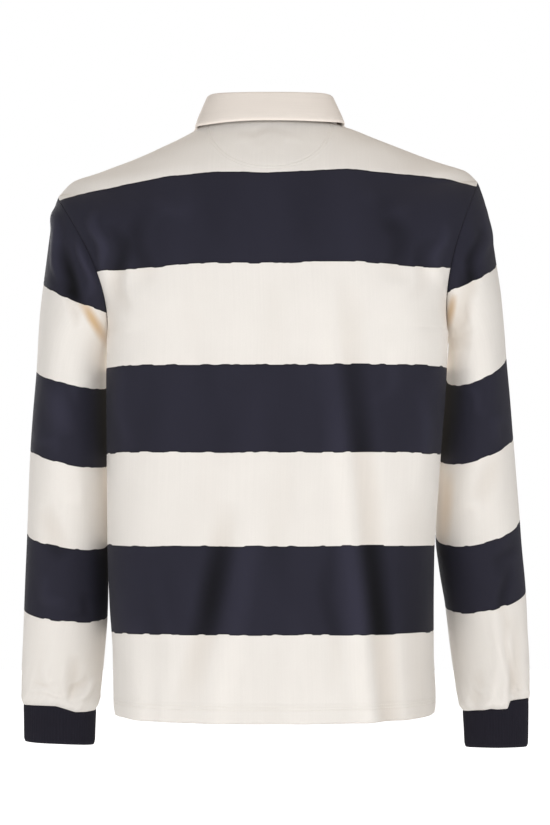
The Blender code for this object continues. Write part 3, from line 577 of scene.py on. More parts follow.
def armhole_points(side, angles):
    """The armhole seam: angle 0 is the underarm, pi the shoulder tip, the back comes first."""
    tip_x, tip_z, under_x, under_z, _ = ARMHOLE[side]
    row = (tip_x, tip_z, under_x, under_z, 0.0, ARMHOLE_DEPTH, 0.0)
    return ring_points(row, angles) + hollowing(side, angles)


def seam_directions(points, axis):
    """Outward directions across a closed seam, square to it and to the tube's axis."""
    along = np.roll(points, -1, axis=0) - np.roll(points, 1, axis=0)
    out = unit(np.cross(along, axis))
    flip = np.sign(np.sum(out * (points - points.mean(axis=0)), axis=1, keepdims=True))
    return out * flip


def armhole_axis(side):
    """The direction in which a sleeve leaves the body."""
    return np.array([float(side), 0.0, 0.0])


def tube_axis(row):
    """The direction in which a sleeve or cuff leaves one of its sections."""
    outer_x, outer_z, inner_x, inner_z, _, _, lean = row
    reach = np.array([outer_x - inner_x, 0.0, outer_z - inner_z])
    back = np.array([0.0, -math.cos(math.radians(lean)), -math.sin(math.radians(lean))])
    axis = np.cross(reach, back)
    return unit(axis * -np.sign(axis[2]))


def centre_line(face):
    """The middle of a panel from hem to neck, as a function of the row: 0 is the hem, 1 the
    armpit, 2 the shoulder tip and 3 the neck seam."""
    table = np.array(BACK_LINE if face == BACK else FRONT_LINE)
    depth = smooth_table(table[:, 0], table[:, 1:])
    heights = np.linspace(table[0, 0], table[-1, 0], DENSE)
    line = np.array([(depth(z)[0], z) for z in heights])
    marks = [table[0, 0], *LEVELS[face], table[-1, 0]]
    parts = []
    for low, high in zip(marks[:-1], marks[1:]):
        inside = (heights >= low) & (heights <= high)
        parts.append(line[inside])

    def at(row):
        part = min(int(row), 2)
        return by_length(parts[part], [row - part])[0]

    return at


CENTRE = {face: centre_line(face) for face in (BACK, FRONT)}
BODY_EDGE = smooth_table([row[0] for row in BODY_EDGES], [row[1:] for row in BODY_EDGES])
SHOULDER_LINE = smooth_table(range(len(SHOULDER)), SHOULDER)
SQUARE_TABLE = smooth_table([row[0] for row in SQUARE], [row[1:] for row in SQUARE])


def shoulder_lines():
    """Both shoulder seams from tip to neck, closely spaced."""
    line = np.array([SHOULDER_LINE(k) for k in np.linspace(len(SHOULDER) - 1, 0, DENSE)])
    return line[:, :2], line[:, 2:]


SHOULDER_SEAMS = shoulder_lines()


def row_ends(face, row):
    """Where a row of a panel meets its left and its right seam."""
    if row < 1.0:
        ends = []
        for side in (LEFT, RIGHT):
            height = HEM_SIDE + row * (ARMHOLE[side][3] - HEM_SIDE)
            edge = BODY_EDGE(height)[0 if side == LEFT else 1]
            curl = HEM_ROLL * max(0.0, 1 - (height - HEM_SIDE) / HEM_CURL)
            ends.append(np.array([edge - side * curl, 0.0, height]))
        return ends
    if row < 2.0:
        angle = np.array([-face * math.pi * (row - 1.0)])
        return [armhole_points(side, angle)[0] for side in (LEFT, RIGHT)]
    ends = [by_length(seam, [row - 2.0])[0] for seam in SHOULDER_SEAMS]
    return [np.array([x, 0.0, z]) for x, z in ends]


def dent(row, points):
    """The hollow under each arm, along the side seams."""
    if row > 1.0:
        return points
    out = points.copy()
    for side in (LEFT, RIGHT):
        below = (1.0 - row) * (ARMHOLE[side][3] - HEM_SIDE)
        depth = UNDERARM_DENT * below / DENT_DROP * math.exp(1 - below / DENT_DROP)
        near = np.exp(-((points[:, 1] / DENT_SPREAD) ** 2)) * (np.sign(points[:, 0]) == side)
        out[:, 0] -= side * depth * near
    return out


def body_row(face, row):
    """One line across a panel, from its left seam to its right seam."""
    left, right = row_ends(face, row)
    centre_y, centre_z = CENTRE[face](row)
    square = SQUARE_TABLE(row)[0 if face == BACK else 1]
    start = math.asin(min(1.0, abs(left[1] / centre_y)) ** (square / 2))
    angles = np.linspace(start, math.pi - start, DENSE)
    half = (right[0] - left[0]) / 2 / math.cos(start) ** (2 / square)
    middle = (left[0] + right[0]) / 2
    x = middle - half * np.sign(np.cos(angles)) * np.abs(np.cos(angles)) ** (2 / square)
    y = centre_y * np.abs(np.sin(angles)) ** (2 / square)
    share = (angles - start) / (math.pi - 2 * start)
    side_z = np.where(share < 0.5, left[2], right[2])
    rise = (np.sin(angles) ** 2 - math.sin(start) ** 2) / math.cos(start) ** 2
    dip = SHOULDER_DIP[face] * np.clip(row - 1.0, 0, 1) * np.clip(3.0 - row, 0, 1)
    z = side_z + (centre_z - side_z) * rise - dip * np.sin(2 * math.pi * share) ** 2
    return dent(row, np.stack([x, y, z], axis=1))


def body_point(face, row, degrees, side):
    """A point of a panel, by its row and its angle from the seam on one side."""
    line = body_row(face, row)
    share = degrees / 180.0
    index = share * (DENSE - 1) if side == LEFT else (1 - share) * (DENSE - 1)
    low = int(np.clip(math.floor(index), 0, DENSE - 2))
    return line[low] + (index - low) * (line[low + 1] - line[low])

# What a material reads at each point of a piece, and its value where a piece doesn't set it:
# place among the bands, distance inside a turned edge, strength of a painted glow, the relief that paints
# shade and light on folds, and painted amber shade in hollows
FIELDS = {"band": 700.0, "turn": FAR_OUTSIDE, "soak": 0.0, "nap": 0.0, "amber": 0.0}


def panel_rows():
    """The fine rows of both panels, from the hem up. One of them is at the slit's end."""
    low = np.linspace(0, 1, LOW_ROWS + 1)
    arm = 1 + np.arange(1, ARM_ROWS + 1) / ARM_ROWS
    shoulder = 2 + np.arange(1, SHOULDER_ROWS + 1) / SHOULDER_ROWS
    return np.concatenate([low, arm, shoulder])


def column_shares(face, row, length):
    """The fractions of a row's length at which its columns stand. The front keeps columns at
    the edges of its slit."""
    crowding = ARM_CROWDING * max(0.0, math.sin(math.pi * np.clip(row - 1.0, 0, 1))) ** 0.8
    steps = (COLUMNS // 2 if face == BACK else FRONT_COLUMNS) + 1
    side = np.linspace(0, 1, steps)
    side = side - crowding * np.sin(math.pi * side) / math.pi
    if face == BACK:
        return np.concatenate([side / 2, 1 - side[-2::-1] / 2])
    slot = SLOT_HALF / length
    side = side * (0.5 - slot)
    middle = np.linspace(0.5 - slot, 0.5 + slot, SLIT_COLUMNS + 1)[1:-1]
    return np.concatenate([side, middle, 1 - side[::-1]])


def panel_grid(face, rows):
    """A panel's outer points, row by row."""
    grid = []
    for row in rows:
        line = body_row(face, row)
        along = lengths_along(line)
        shares = column_shares(face, row, along[-1])
        if face == FRONT:
            shift = np.interp(0.0, line[:, 0], along) / along[-1] - 0.5
            shares = shares + shift * np.sin(math.pi * shares)
        grid.append(by_length(line, shares))
    grid = np.array(grid)
    share = np.clip((np.abs(grid[..., 0]) - SAG_FROM) / (SAG_TO - SAG_FROM), 0, 1)
    sag = SAG_DEPTH * np.sin(math.pi * share) ** 2
    grid[..., 2] -= sag * soft_step((grid[..., 2] - SAG_LOW) / SAG_FADE)
    return grid


def soaked(distance, height):
    """How strong the painted glow is, standing for light that soaks through the cloth, at a distance
    from where the sleeve and the body meet, below the underarm."""
    near = np.clip(1 - distance / SOAK_REACH, 0, 1) ** 2
    down = (SOAK_TOP - height) / SOAK_LENGTH
    return near * soft_step(down * SOAK_START) * (1 - soft_step(down))


def cloth_lengths(grid):
    """How far across from the first column, and how far up from the first row, each point of
    the cloth lies."""
    across = np.linalg.norm(np.diff(grid, axis=1), axis=-1)
    up = np.linalg.norm(np.diff(grid, axis=0), axis=-1)
    across = np.concatenate([np.zeros((len(grid), 1)), np.cumsum(across, axis=1)], axis=1)
    up = np.concatenate([np.zeros((1, grid.shape[1])), np.cumsum(up, axis=0)])
    return across, up


def grid_directions(grid, middle, closed=False):
    """Outward directions at a grid's points, from their neighbours."""
    if closed:
        across = np.roll(grid, -1, axis=1) - np.roll(grid, 1, axis=1)
    else:
        across = np.gradient(grid, axis=1)
    out = unit(np.cross(across, np.gradient(grid, axis=0)))
    return out * np.sign(np.sum(out * (grid - middle), axis=-1).mean())


def fold_height(piece, points, level, table, wander=0.0):
    """How far folds move each point out or in. Level is the middle depth of the piece, and a
    fold lies on the half behind it, or in front of it on the front panel."""
    height = np.zeros(points.shape[:-1])
    flat = points[..., [0, 2]]
    first = sum(len(table[name]) for name in list(table)[: list(table).index(piece)])
    for number, (x0, z0, x1, z1, half, tall) in enumerate(table[piece], start=first):
        start = np.array([x0, z0], float)
        run = np.array([x1, z1], float) - start
        share = np.clip((flat - start) @ run / (run @ run), 0, 1)
        beside = np.array([run[1], -run[0]]) / np.linalg.norm(run)
        sway = wander * half * np.sin(2 * math.pi * (SWAY_TURNS * share + SWAY_STEP * number))
        nearest = start + share[..., None] * run + sway[..., None] * beside
        away = np.linalg.norm(flat - nearest, axis=-1) / half
        turn = math.pi / 2 if z1 <= FOLD_OPEN else math.pi
        ends = np.maximum(np.sin(turn * share), 0.0) ** FOLD_FADE
        behind = (level - points[..., 1]) * (-1 if piece == "front" else 1)
        facing = np.clip(behind / FOLD_FACING, 0, 1)
        height += tall * np.clip(1 - away**2, 0, None) ** 2 * ends * facing
    return height


def ripple(across, along, seed, size):
    """The soft unevenness of hanging cloth, from -1 to 1, in upright waves about as wide as
    size."""
    chance = np.random.default_rng(seed)
    total = np.zeros_like(across)
    for _ in range(RIPPLE_WAVES):
        lean = chance.uniform(-RIPPLE_LEAN, RIPPLE_LEAN)
        width = size * chance.uniform(*RIPPLE_WIDTHS)
        phase = chance.uniform(0, 2 * math.pi)
        wave = (across * math.cos(lean) + along * math.sin(lean)) / width
        total += np.sin(2 * math.pi * wave + phase)
    return total / RIPPLE_WAVES


def hanging_relief(piece, grid, level, across, along):
    """Folds, creases and soft unevenness of one piece of jersey."""
    strength = bpy.context.scene.shirt_cloth.crease_strength
    relief = fold_height(piece, grid, level, FOLDS)
    relief += strength * fold_height(piece, grid, level, CREASES, CREASE_WANDER)
    for number, (height, width) in enumerate(RIPPLES):
        relief += strength * height * ripple(across, along, SEEDS[piece] + number, width)
    return relief


def seam_sink(distance):
    """How far the cloth is drawn in at this distance from a seam."""
    return -SEAM_SINK * np.exp(-((distance / SINK_REACH) ** 2))


def body_bands(grid):
    """The band height of each point of a panel."""
    places, upper, lower = np.array(BAND_DROOP).T
    x, z = grid[..., 0], grid[..., 2]
    climb = (FIRST_BAND_LOW - z) / NAVY_BANDS[0][0]
    high = np.clip(climb, 0, 1)
    below = soft_step(1 + climb)
    droop = np.interp(x, places, upper) * high + np.interp(x, places, lower) * (1 - high)
    return FIRST_BAND_LOW - z - droop * below


def neck_drops(along):
    """How far below the neck seam each row crosses the back's middle."""
    centre = along[:, along.shape[1] // 2]
    return centre[-1] - centre


def row_at_drop(drops, wanted):
    """The rows that lie this far below the neck seam."""
    return len(drops) - 1 - index_at(drops[::-1], wanted)


def patch_depth(grid, drops):
    """How far inside the half-moon patch's outline each point of the back lies."""
    deep = np.clip(drops / MOON_DROP, 0, None)[:, None] ** MOON_ROUND
    wide = np.abs(grid[..., 0] / MOON_HALF) ** MOON_ROUND
    return (1 - (deep + wide) ** (1 / MOON_ROUND)) * (MOON_HALF + MOON_DROP) / 2


class Surface:
    """One piece's outer face: a grid of points with outward directions, cloth coordinates,
    the cloth's thickness, and what its material reads at each point."""

    def __init__(self, grid, out, wall, across, along, **fields):
        self.grid = grid
        self.out = out
        self.wall = wall
        self.across = across
        self.along = along
        self.fields = {key: np.full(grid.shape[:2], value) for key, value in FIELDS.items()}
        self.fields.update(fields)

    def inner(self):
        """The points of the cloth's other face."""
        thickness = np.asarray(self.wall, float)
        if thickness.ndim == 1:
            thickness = thickness[:, None, None]
        return self.grid - thickness * self.out

    def at(self, row, column, lift=0.0):
        """A point between the grid's rows and columns, moved out by lift."""
        r = int(np.clip(math.floor(row), 0, self.grid.shape[0] - 2))
        c = int(np.clip(math.floor(column), 0, self.grid.shape[1] - 2))
        u, v = row - r, column - c
        found = []
        for field in (self.grid, self.out):
            low = field[r, c] * (1 - v) + field[r, c + 1] * v
            high = field[r + 1, c] * (1 - v) + field[r + 1, c + 1] * v
            found.append(low * (1 - u) + high * u)
        return found[0] + unit(found[1]) * lift

    def column_at(self, row, x):
        """The column at which the piece has this x, at a row or between two."""
        low = int(np.clip(math.floor(row), 0, self.grid.shape[0] - 2))
        line = self.grid[low, :, 0]
        line = line + (row - low) * (self.grid[low + 1, :, 0] - line)
        return float(np.interp(x, line, np.arange(len(line))))

    def lifted(self, row, x, lift):
        """The point of the piece at this row and x, moved out."""
        return self.at(row, self.column_at(row, x), lift)


def seam_sides(grids, middle):
    """The directions that both panels share along their side and shoulder seams."""
    shared = {}
    for column, inward in ((0, 1), (-1, -2)):
        across = grids[BACK][:, inward] - grids[FRONT][:, inward]
        edge = grids[BACK][:, column]
        direction = unit(np.cross(across, np.gradient(edge, axis=0)))
        flip = np.sum(direction * (edge - middle[:, 0]), axis=1, keepdims=True)
        shared[column] = direction * np.sign(flip)
    return shared


def open_seams(face, grid, directions):
    """Moves a panel's edges back from its neighbours by half of a seam's gap, and turns its
    armholes' edges square to the seam."""
    tip = LOW_ROWS + ARM_ROWS
    picks = -face * np.arange(ARM_ROWS + 1) % (2 * ARM_ROWS)
    ring = math.pi * np.arange(2 * ARM_ROWS) / ARM_ROWS
    for side, column in ((LEFT, 0), (RIGHT, -1)):
        axis = armhole_axis(side)
        directions[LOW_ROWS : tip + 1, column] = seam_directions(armhole_points(side, ring), axis)[picks]
        grid[LOW_ROWS : tip + 1, column] -= axis * SEAM_GAP / 2
        grid[: LOW_ROWS + 1, column, 1] += face * SEAM_GAP / 2
        grid[tip:, column, 1] += face * SEAM_GAP / 2


@cache
def make_panels():
    """The back's and the front's surfaces."""
    rows = panel_rows()
    grids = {face: panel_grid(face, rows) for face in (BACK, FRONT)}
    middle = np.array([[[BODY_MIDDLE, 0.0, z]] for z in grids[BACK][:, 0, 2]])
    shared = seam_sides(grids, middle)
    panels = {}
    for face, name in ((BACK, "back"), (FRONT, "front")):
        grid = grids[face]
        directions = grid_directions(grid, middle)
        across, along = cloth_lengths(grid)
        band = body_bands(grid)
        turn = HEM_TURN - along
        if face == BACK:
            turn = np.maximum(turn, patch_depth(grid, neck_drops(along)))
        beside = np.minimum(across, across[:, -1:] - across)
        across = across - across[:, grid.shape[1] // 2, None]
        ease = soft_step(beside / SEAM_EASE) * soft_step((along[-1:] - along) / SEAM_EASE)
        relief = hanging_relief(name, grid, 0.0, across, along) * ease + seam_sink(beside)
        for column in shared:
            directions[:, column] = shared[column]
        grid = grid + relief[..., None] * directions
        directions = grid_directions(grid, middle)
        for column in shared:
            directions[:, column] = shared[column]
        open_seams(face, grid, directions)
        hem = soft_step((HEM_TURN + 1 - along.mean(axis=1)) / 2)
        wall = JERSEY + (HEM_WALL - JERSEY) * hem
        # painted glow on the body beside the sleeves
        soak = BODY_SOAK * soaked(beside, grid[..., 2])
        # the relief also paints shade and light: hollows darker, ridges lighter
        fields = {"band": band, "turn": turn, "soak": soak, "nap": relief}
        panels[face] = Surface(grid, directions, wall, across, along, **fields)
    return panels


def bare_tube(table, rings, columns, side=None):
    """A sleeve or cuff with no relief: its sections, angles and points, the middle of each
    ring, and the lengths along and round it."""
    marks = np.linspace(0, len(table) - 1, rings)
    angles = 2 * math.pi * np.arange(columns) / columns
    section = smooth_table(range(len(table)), table)
    grid = []
    for mark in marks:
        fade = max(0.0, 1 - mark / HEAD_SECTIONS) if side else 0.0
        ring = ring_points(section(mark), angles, SQUARE_SLEEVE + (2.0 - SQUARE_SLEEVE) * fade)
        if side:
            ring = ring + hollowing(side, angles) * fade * fade * (3 - 2 * fade)
        grid.append(ring)
    grid = np.array(grid)
    along = cloth_lengths(grid)[1]
    around = cloth_lengths(np.concatenate([grid, grid[:, :1]], axis=1))[0]
    return marks, angles, grid, grid.mean(axis=1, keepdims=True), along, around


def sleeve_bands(side, marks, angles, along):
    """The band height of each point of a sleeve."""
    start, rise, power = HEAD_BANDS[side]
    head = start + rise * ((1 + np.cos(angles)) / 2) ** power
    keys, heights = zip(*SLEEVE_BANDS)
    first = int(np.searchsorted(marks, keys[0]))
    low = heights[0] / SLEEVE_SCALE
    share = np.clip(along / along[first], 0, 1)
    down = head + (low - head) * share
    down = np.where(down > 0, down * SLEEVE_SCALE, down)
    below = np.interp(marks, keys, heights)[:, None] + 0 * along
    return np.where(marks[:, None] < keys[0], down, below)


def cuff_shift(side, points, middle_y):
    """How much higher the cuff's seam lies at each point, on the half that faces back."""
    places, heights = np.array(CUFF_SHIFT[side], float).T
    facing = soft_step((middle_y - points[..., 1]) / FOLD_FACING + 0.5)
    return np.interp(points[..., 0], places, heights) * facing


def gathers(across, along, away, seed, measures):
    """The ripples of cloth that is gathered into a seam, at a distance away from it."""
    step, height, width, reach = measures
    ripples = ripple(across, along * GATHER_FLAT, seed + step, width)
    return height * ripples * np.exp(-away / reach) * (1 - np.exp(-away / GATHER_START))


def make_sleeve(side, word):
    """One sleeve's surface."""
    name = f"sleeve_{word}"
    tube = bare_tube(SLEEVE[side], SLEEVE_RINGS, SLEEVE_COLUMNS, side)
    marks, angles, grid, middles, along, around = tube
    band = sleeve_bands(side, marks, angles, along)
    out = grid_directions(grid, middles, closed=True)
    turn = around[:, :-1]
    beside = np.minimum(turn, around[:, -1:] - turn)
    above = along[-1:] - along
    ease = soft_step(along / SEAM_EASE) * soft_step(above / SEAM_EASE + FOLDS_AT_CUFF)
    level = middles[..., 1] - SLEEVE_LEVEL
    relief = hanging_relief(name, grid, level, turn, along)
    relief *= ease * soft_step(beside / SEAM_EASE)
    relief += gathers(turn, along, above, SEEDS[name], CUFF_GATHERS)
    relief += gathers(turn, along, along, SEEDS[name], HEAD_EASE)
    height, centre, half = BAG
    relief += height * np.exp(-(((above - centre) / half) ** 2))
    relief += seam_sink(along) + seam_sink(beside) * soft_step(along / SEAM_END) + seam_sink(above)
    # painted amber shade in the hollows under the arm
    amber = fold_height(name, grid, level, AMBER_SHADE)
    grid = grid + relief[..., None] * out
    shift = cuff_shift(side, grid, middles[..., 1])
    grid[..., 2] += shift * soft_step(1 - above / SHIFT_REACH)
    out = grid_directions(grid, middles, closed=True)
    axis = armhole_axis(side)
    out[0] = seam_directions(grid[0], axis)
    grid[0] += axis * SEAM_GAP / 2
    grid[-1] -= tube_axis(SLEEVE[side][-1]) * SEAM_GAP / 2
    # painted glow on the sleeve beside the body
    edges = np.array([BODY_EDGE(z)[0 if side == LEFT else 1] for z in middles[:, 0, 2]])
    soak = soaked(side * (grid[..., 0] - edges[:, None]), grid[..., 2])
    # the relief also paints shade and light on the folds
    return Surface(grid, out, JERSEY, around, -band, band=band, soak=soak, nap=relief, amber=amber)


def make_cuff(side, ribs):
    """One cuff's surface: folded rib."""
    _, _, grid, middles, along, around = bare_tube(CUFF[side], CUFF_RINGS, ribs * POINTS_A_RIB)
    out = grid_directions(grid, middles, closed=True)
    height, width = CUFF_WAVES
    waves = height * ripple(around[:, :-1], along, SEEDS["cuff"] + side, width)
    relief = seam_sink(along) + waves * soft_step(along / CUFF_EASE)
    grid = grid + relief[..., None] * out
    shift = cuff_shift(side, grid, middles[..., 1])
    grid[..., 2] += shift * soft_step(1 - along / CUFF_SHIFT_REACH)
    out = grid_directions(grid, middles, closed=True)
    grid[0] += tube_axis(CUFF[side][0]) * SEAM_GAP / 2
    return Surface(grid, out, CUFF_CLOTH, around, along)


def strip_on(surface, rows, halves, columns, lift):
    """A strip that lies on a panel about its middle, moved out, with one half width for each
    row."""
    grid = []
    for row, half in zip(rows, halves):
        grid.append([surface.lifted(row, x, lift) for x in np.linspace(-half, half, columns + 1)])
    return np.array(grid)


def strip_surface(outer, inner, toward):
    """A strip's surface from its two faces; toward is a direction on its outer side."""
    across, along = cloth_lengths(outer)
    across = across - across[:, outer.shape[1] // 2, None]
    wall = np.linalg.norm(outer - inner, axis=-1)
    out = unit(outer - inner)
    if np.sum(out * np.array(toward), axis=-1).mean() < 0:
        out = -out
    surface = Surface(outer, out, JERSEY, across, along)
    surface.inner = lambda: outer - wall[..., None] * out
    return surface


def make_half_moon(back):
    """The patch sewn inside the back of the neck."""
    drops = neck_drops(back.along)
    reach = np.sin(np.linspace(0, math.pi / 2, MOON_ROWS + 1))
    wanted = MOON_START + (MOON_DROP - MOON_START - MOON_END) * reach
    rows = row_at_drop(drops, wanted)
    halves = MOON_HALF * (1 - (wanted / MOON_DROP) ** MOON_ROUND) ** (1 / MOON_ROUND)
    away = -(JERSEY + MOON_GAP)
    faces = [strip_on(back, rows, halves, MOON_COLUMNS, lift) for lift in (away, away - PATCH_CLOTH)]
    return strip_surface(*faces, MOON_FACING)


def slit_rows():
    """The front's rows from the slit's lower end to the neck."""
    low = LOW_ROWS + int(round(ARM_ROWS * (SLIT_END - 1)))
    return np.arange(low, LOW_ROWS + ARM_ROWS + SHOULDER_ROWS + 1)


def make_placket(front):
    """The surfaces of the two strips of the front opening: the lower one and the top one."""

    def strip(rows, half, high):
        halves = [half] * len(rows)
        lifts = (high, high - PLACKET_CLOTH)
        return [strip_on(front, rows, halves, PLACKET_COLUMNS, lift) for lift in lifts]

    rows = slit_rows().astype(float)
    faces = strip(rows, SLOT_HALF - SEAM_GAP, 0.0)
    for face in faces:  # clear of the slit's lower end
        face[0] += unit(face[1] - face[0]) * SEAM_GAP
    under = strip_surface(*faces, PLACKET_FACING)

    column = front.along[:, front.grid.shape[1] // 2]
    tail = index_at(column, column[int(rows[0])] - PLACKET_TAIL * np.linspace(1, 0, TAIL_ROWS + 1)[:-1])
    faces = strip(np.concatenate([tail, rows]), PLACKET_HALF, PLACKET_CLOTH + SEAM_GAP)
    return under, strip_surface(*faces, PLACKET_FACING)


def collar_seam(panels, place):
    """The neck seam's point at a place along the collar, from -1 to 1."""
    if abs(place) <= COLLAR_SIDE:
        return by_length(panels[BACK].grid[-1], [0.5 + 0.5 * place / COLLAR_SIDE])[0]
    seam = panels[FRONT].grid[-1]
    middle = len(seam) // 2
    half = seam[: middle + 1] if place < 0 else seam[middle:][::-1]
    length = lengths_along(half)[-1]
    share = (abs(place) - COLLAR_SIDE) / (1 - COLLAR_SIDE)
    return by_length(half, [share * (1 - COLLAR_END / length)])[0]


def collar_frame(panels, place):
    """The neck seam's point at a place along the collar, with the directions square to the
    seam: up the stand and in towards the neck."""
    seam = collar_seam(panels, place)
    ahead = collar_seam(panels, min(1.0, place + SEAM_REACH))
    along = unit(ahead - collar_seam(panels, max(-1.0, place - SEAM_REACH)))
    level = np.clip((abs(place) - SEAM_LEVEL) / (1 - SEAM_LEVEL), 0, 1)
    along = unit(along * (1 - level) + np.array([-1.0, 0.0, 0.0]) * level)
    up = np.array([0.0, 0.0, 1.0])
    up = unit(up - (up @ along) * along)
    inward = np.cross(along, up)
    inward *= -np.sign(inward @ (seam - np.array([0.0, NECK_MIDDLE, seam[2]])))
    return seam, up, inward


def collar_section(panels, place, settings):
    """The visible face of the collar at one place: from the leaf's edge up, over the fold and
    down the stand to the neck seam."""
    _, rise, lean, row, degrees, lift = settings(abs(place))
    seam, up, inward = collar_frame(panels, place)
    side = LEFT if place < 0 else RIGHT
    face = BACK if abs(place) < COLLAR_SIDE else FRONT

    at = body_point(face, row, degrees, side)
    along = body_point(face, row, degrees + BODY_PROBE[0], side) - at
    climb = body_point(face, row + BODY_PROBE[1], degrees, side) - at
    out = unit(np.cross(along, climb))
    out *= np.sign(out @ np.array([at[0], at[1], SHOULDER_SLOPE]))
    edge = at + out * (lift + COLLAR_CLOTH)

    foot = seam + up * FOOT_RISE + inward * (COLLAR_CLOTH + FOOT_CLEAR)
    tilt = -math.atan2(lean, rise)
    toward_neck = math.cos(tilt) * inward + math.sin(tilt) * up
    top = foot + inward * lean + up * rise
    hinge = top - FOLD_RADIUS * toward_neck
    last = math.pi
    for _ in range(4):  # the turn at which the leaf leaves the fold on its way to the edge
        fall = edge - hinge - FOLD_RADIUS * (math.cos(last) * inward + math.sin(last) * up)
        last = math.atan2(-fall @ inward, fall @ up)
    turns = np.linspace(last, tilt, FOLD_STEPS)
    arc = [hinge + FOLD_RADIUS * (math.cos(t) * inward + math.sin(t) * up) for t in turns]
    shares = np.arange(LEAF_STEPS) / LEAF_STEPS
    length = np.linalg.norm(arc[0] - edge)
    leaf = []
    for share in shares:
        bow = BOW_PEAK * share * (1 - share) ** 2 * LEAF_BOW
        drawn = STITCH_SINK * math.exp(-(((share * length - TOPSTITCH) / STITCH_SPREAD) ** 2))
        leaf.append(edge + (arc[0] - edge) * share + out * (bow - drawn))
    stand = [top + (foot - top) * k / STAND_STEPS for k in range(1, STAND_STEPS + 1)]
    return np.array(leaf + arc + stand)


def make_collar(panels):
    """The collar's surface: a stand that rises from the neck seam and a leaf folded over it."""
    settings = smooth_table([row[0] for row in COLLAR], COLLAR)
    places = np.linspace(-1, 1, COLLAR_STEPS + 1)
    grid = np.array([collar_section(panels, place, settings) for place in places])
    across, along = cloth_lengths(grid)
    out = unit(np.cross(np.gradient(grid, axis=1), np.gradient(grid, axis=0)))
    if out[COLLAR_STEPS // 2, 0, 1] > 0:  # the leaf faces backwards in the middle of the back
        out = -out
    return Surface(grid, out, COLLAR_CLOTH, across, along)


def rim_directions(points, edges, centres):
    """For each point on the edges, the direction away from the cells beside it."""
    away = np.zeros_like(points)
    middle = (points[edges[:, 0]] + points[edges[:, 1]]) / 2
    run = unit(points[edges[:, 1]] - points[edges[:, 0]])
    step = middle - centres
    step -= np.sum(step * run, axis=1, keepdims=True) * run
    for end in (0, 1):
        np.add.at(away, edges[:, end], unit(step))
    return unit(away)


def add_wall(name, surface, material, closed=False, hole=None, free_rows=(), free_columns=()):
    """A closed wall of cloth as a mesh object. Closed joins the last column to the first, hole
    says for arrays of cells which are cut away, and free rows and columns are unsewn edges."""
    outer, inner = surface.grid, surface.inner()
    rows, columns = outer.shape[:2]
    count = rows * columns
    index = np.arange(count).reshape(rows, columns)
    if closed:
        index = np.concatenate([index, index[:, :1]], axis=1)
    width = index.shape[1]
    index = index.ravel()
    across = surface.across[:, :width].ravel() * MM
    if closed:
        along = np.concatenate([surface.along, surface.along[:, :1]], axis=1)
    else:
        along = surface.along
    along = along.ravel() * MM
    r, c = np.mgrid[0 : rows - 1, 0 : width - 1]
    if hole is not None:
        keep = ~hole(r, c)
        r, c = r[keep], c[keep]
    r, c = r.ravel(), c.ravel()
    cells = np.stack([r * width + c, r * width + c + 1, (r + 1) * width + c + 1, (r + 1) * width + c], 1)
    flat_outer, flat_inner = outer.reshape(-1, 3), inner.reshape(-1, 3)
    flat_out = surface.out.reshape(-1, 3)
    corner = flat_outer[index[cells]]
    normal = np.cross(corner[:, 2] - corner[:, 0], corner[:, 3] - corner[:, 1])
    if np.sum(normal * flat_out[index[cells[:, 0]]], axis=1).mean() < 0:
        cells = cells[:, ::-1]

    starts = cells.ravel()
    ends = np.roll(cells, -1, axis=1).ravel()
    forward = index[starts] * count + index[ends]
    backward = index[ends] * count + index[starts]
    edge = ~np.isin(forward, backward)
    centres = np.repeat(corner.mean(axis=1), 4, axis=0)[edge]
    starts, ends = starts[edge], ends[edge]
    pairs = np.stack([index[starts], index[ends]], axis=1)
    away = rim_directions(flat_outer, pairs, centres)
    rim = np.unique(pairs)
    wall = np.linalg.norm(flat_outer[rim] - flat_inner[rim], axis=1, keepdims=True)
    free = np.zeros((rows, columns), bool)
    free[list(free_rows)] = True
    free[:, list(free_columns)] = True
    bulge = LIP * wall * free.reshape(-1, 1)[rim]
    middle = (flat_outer[rim] + flat_inner[rim]) / 2 + bulge * away[rim]
    place = np.zeros(count, int)
    place[rim] = np.arange(len(rim)) + 2 * count

    points = np.concatenate([flat_outer, flat_inner, middle]) * MM
    a, b = index[starts], index[ends]
    faces = [index[cells], index[cells][:, ::-1] + count]
    faces.append(np.stack([b, a, place[a], place[b]], axis=1))
    faces.append(np.stack([place[b], place[a], a + count, b + count], axis=1))
    chart = np.stack([across, along], axis=1)
    lip = COLLAR_CLOTH * MM / 2
    charts = [chart[cells], chart[cells][:, ::-1]]
    for first, second in ((0.0, lip), (lip, 2 * lip)):
        near = [chart[ends] + first, chart[starts] + first]
        charts.append(np.stack(near + [chart[starts] + second, chart[ends] + second], axis=1))
    item = add_mesh(name, points, np.concatenate(faces), np.concatenate(charts), material)
    for key, values in surface.fields.items():
        flat = values.ravel()
        store(item, key, np.concatenate([flat, flat, flat[rim]]))
    return item


def store(item, name, values):
    """Keeps a number at each point of a mesh object."""
    data = item.data.attributes.new(name, "FLOAT", "POINT").data
    data.foreach_set("value", values.astype(np.float32))


def add_mesh(name, points, quads, chart, material):
    """A mesh object from points in metres, its four-sided faces and their cloth coordinates."""
    mesh = bpy.data.meshes.new(name)
    mesh.vertices.add(len(points))
    mesh.vertices.foreach_set("co", points.astype(np.float32).ravel())
    mesh.loops.add(quads.size)
    mesh.loops.foreach_set("vertex_index", quads.astype(np.int32).ravel())
    mesh.polygons.add(len(quads))
    mesh.polygons.foreach_set("loop_start", np.arange(0, quads.size, 4, dtype=np.int32))
    mesh.update(calc_edges=True)
    layer = mesh.uv_layers.new(name="cloth")
    layer.data.foreach_set("uv", chart.astype(np.float32).ravel())
    mesh.validate()
    mesh.shade_smooth()
    mesh.materials.append(material)
    return add_object(name, mesh)


def add_object(name, data):
    """A new object in the scene."""
    item = bpy.data.objects.new(name, data)
    bpy.context.scene.collection.objects.link(item)
    return item


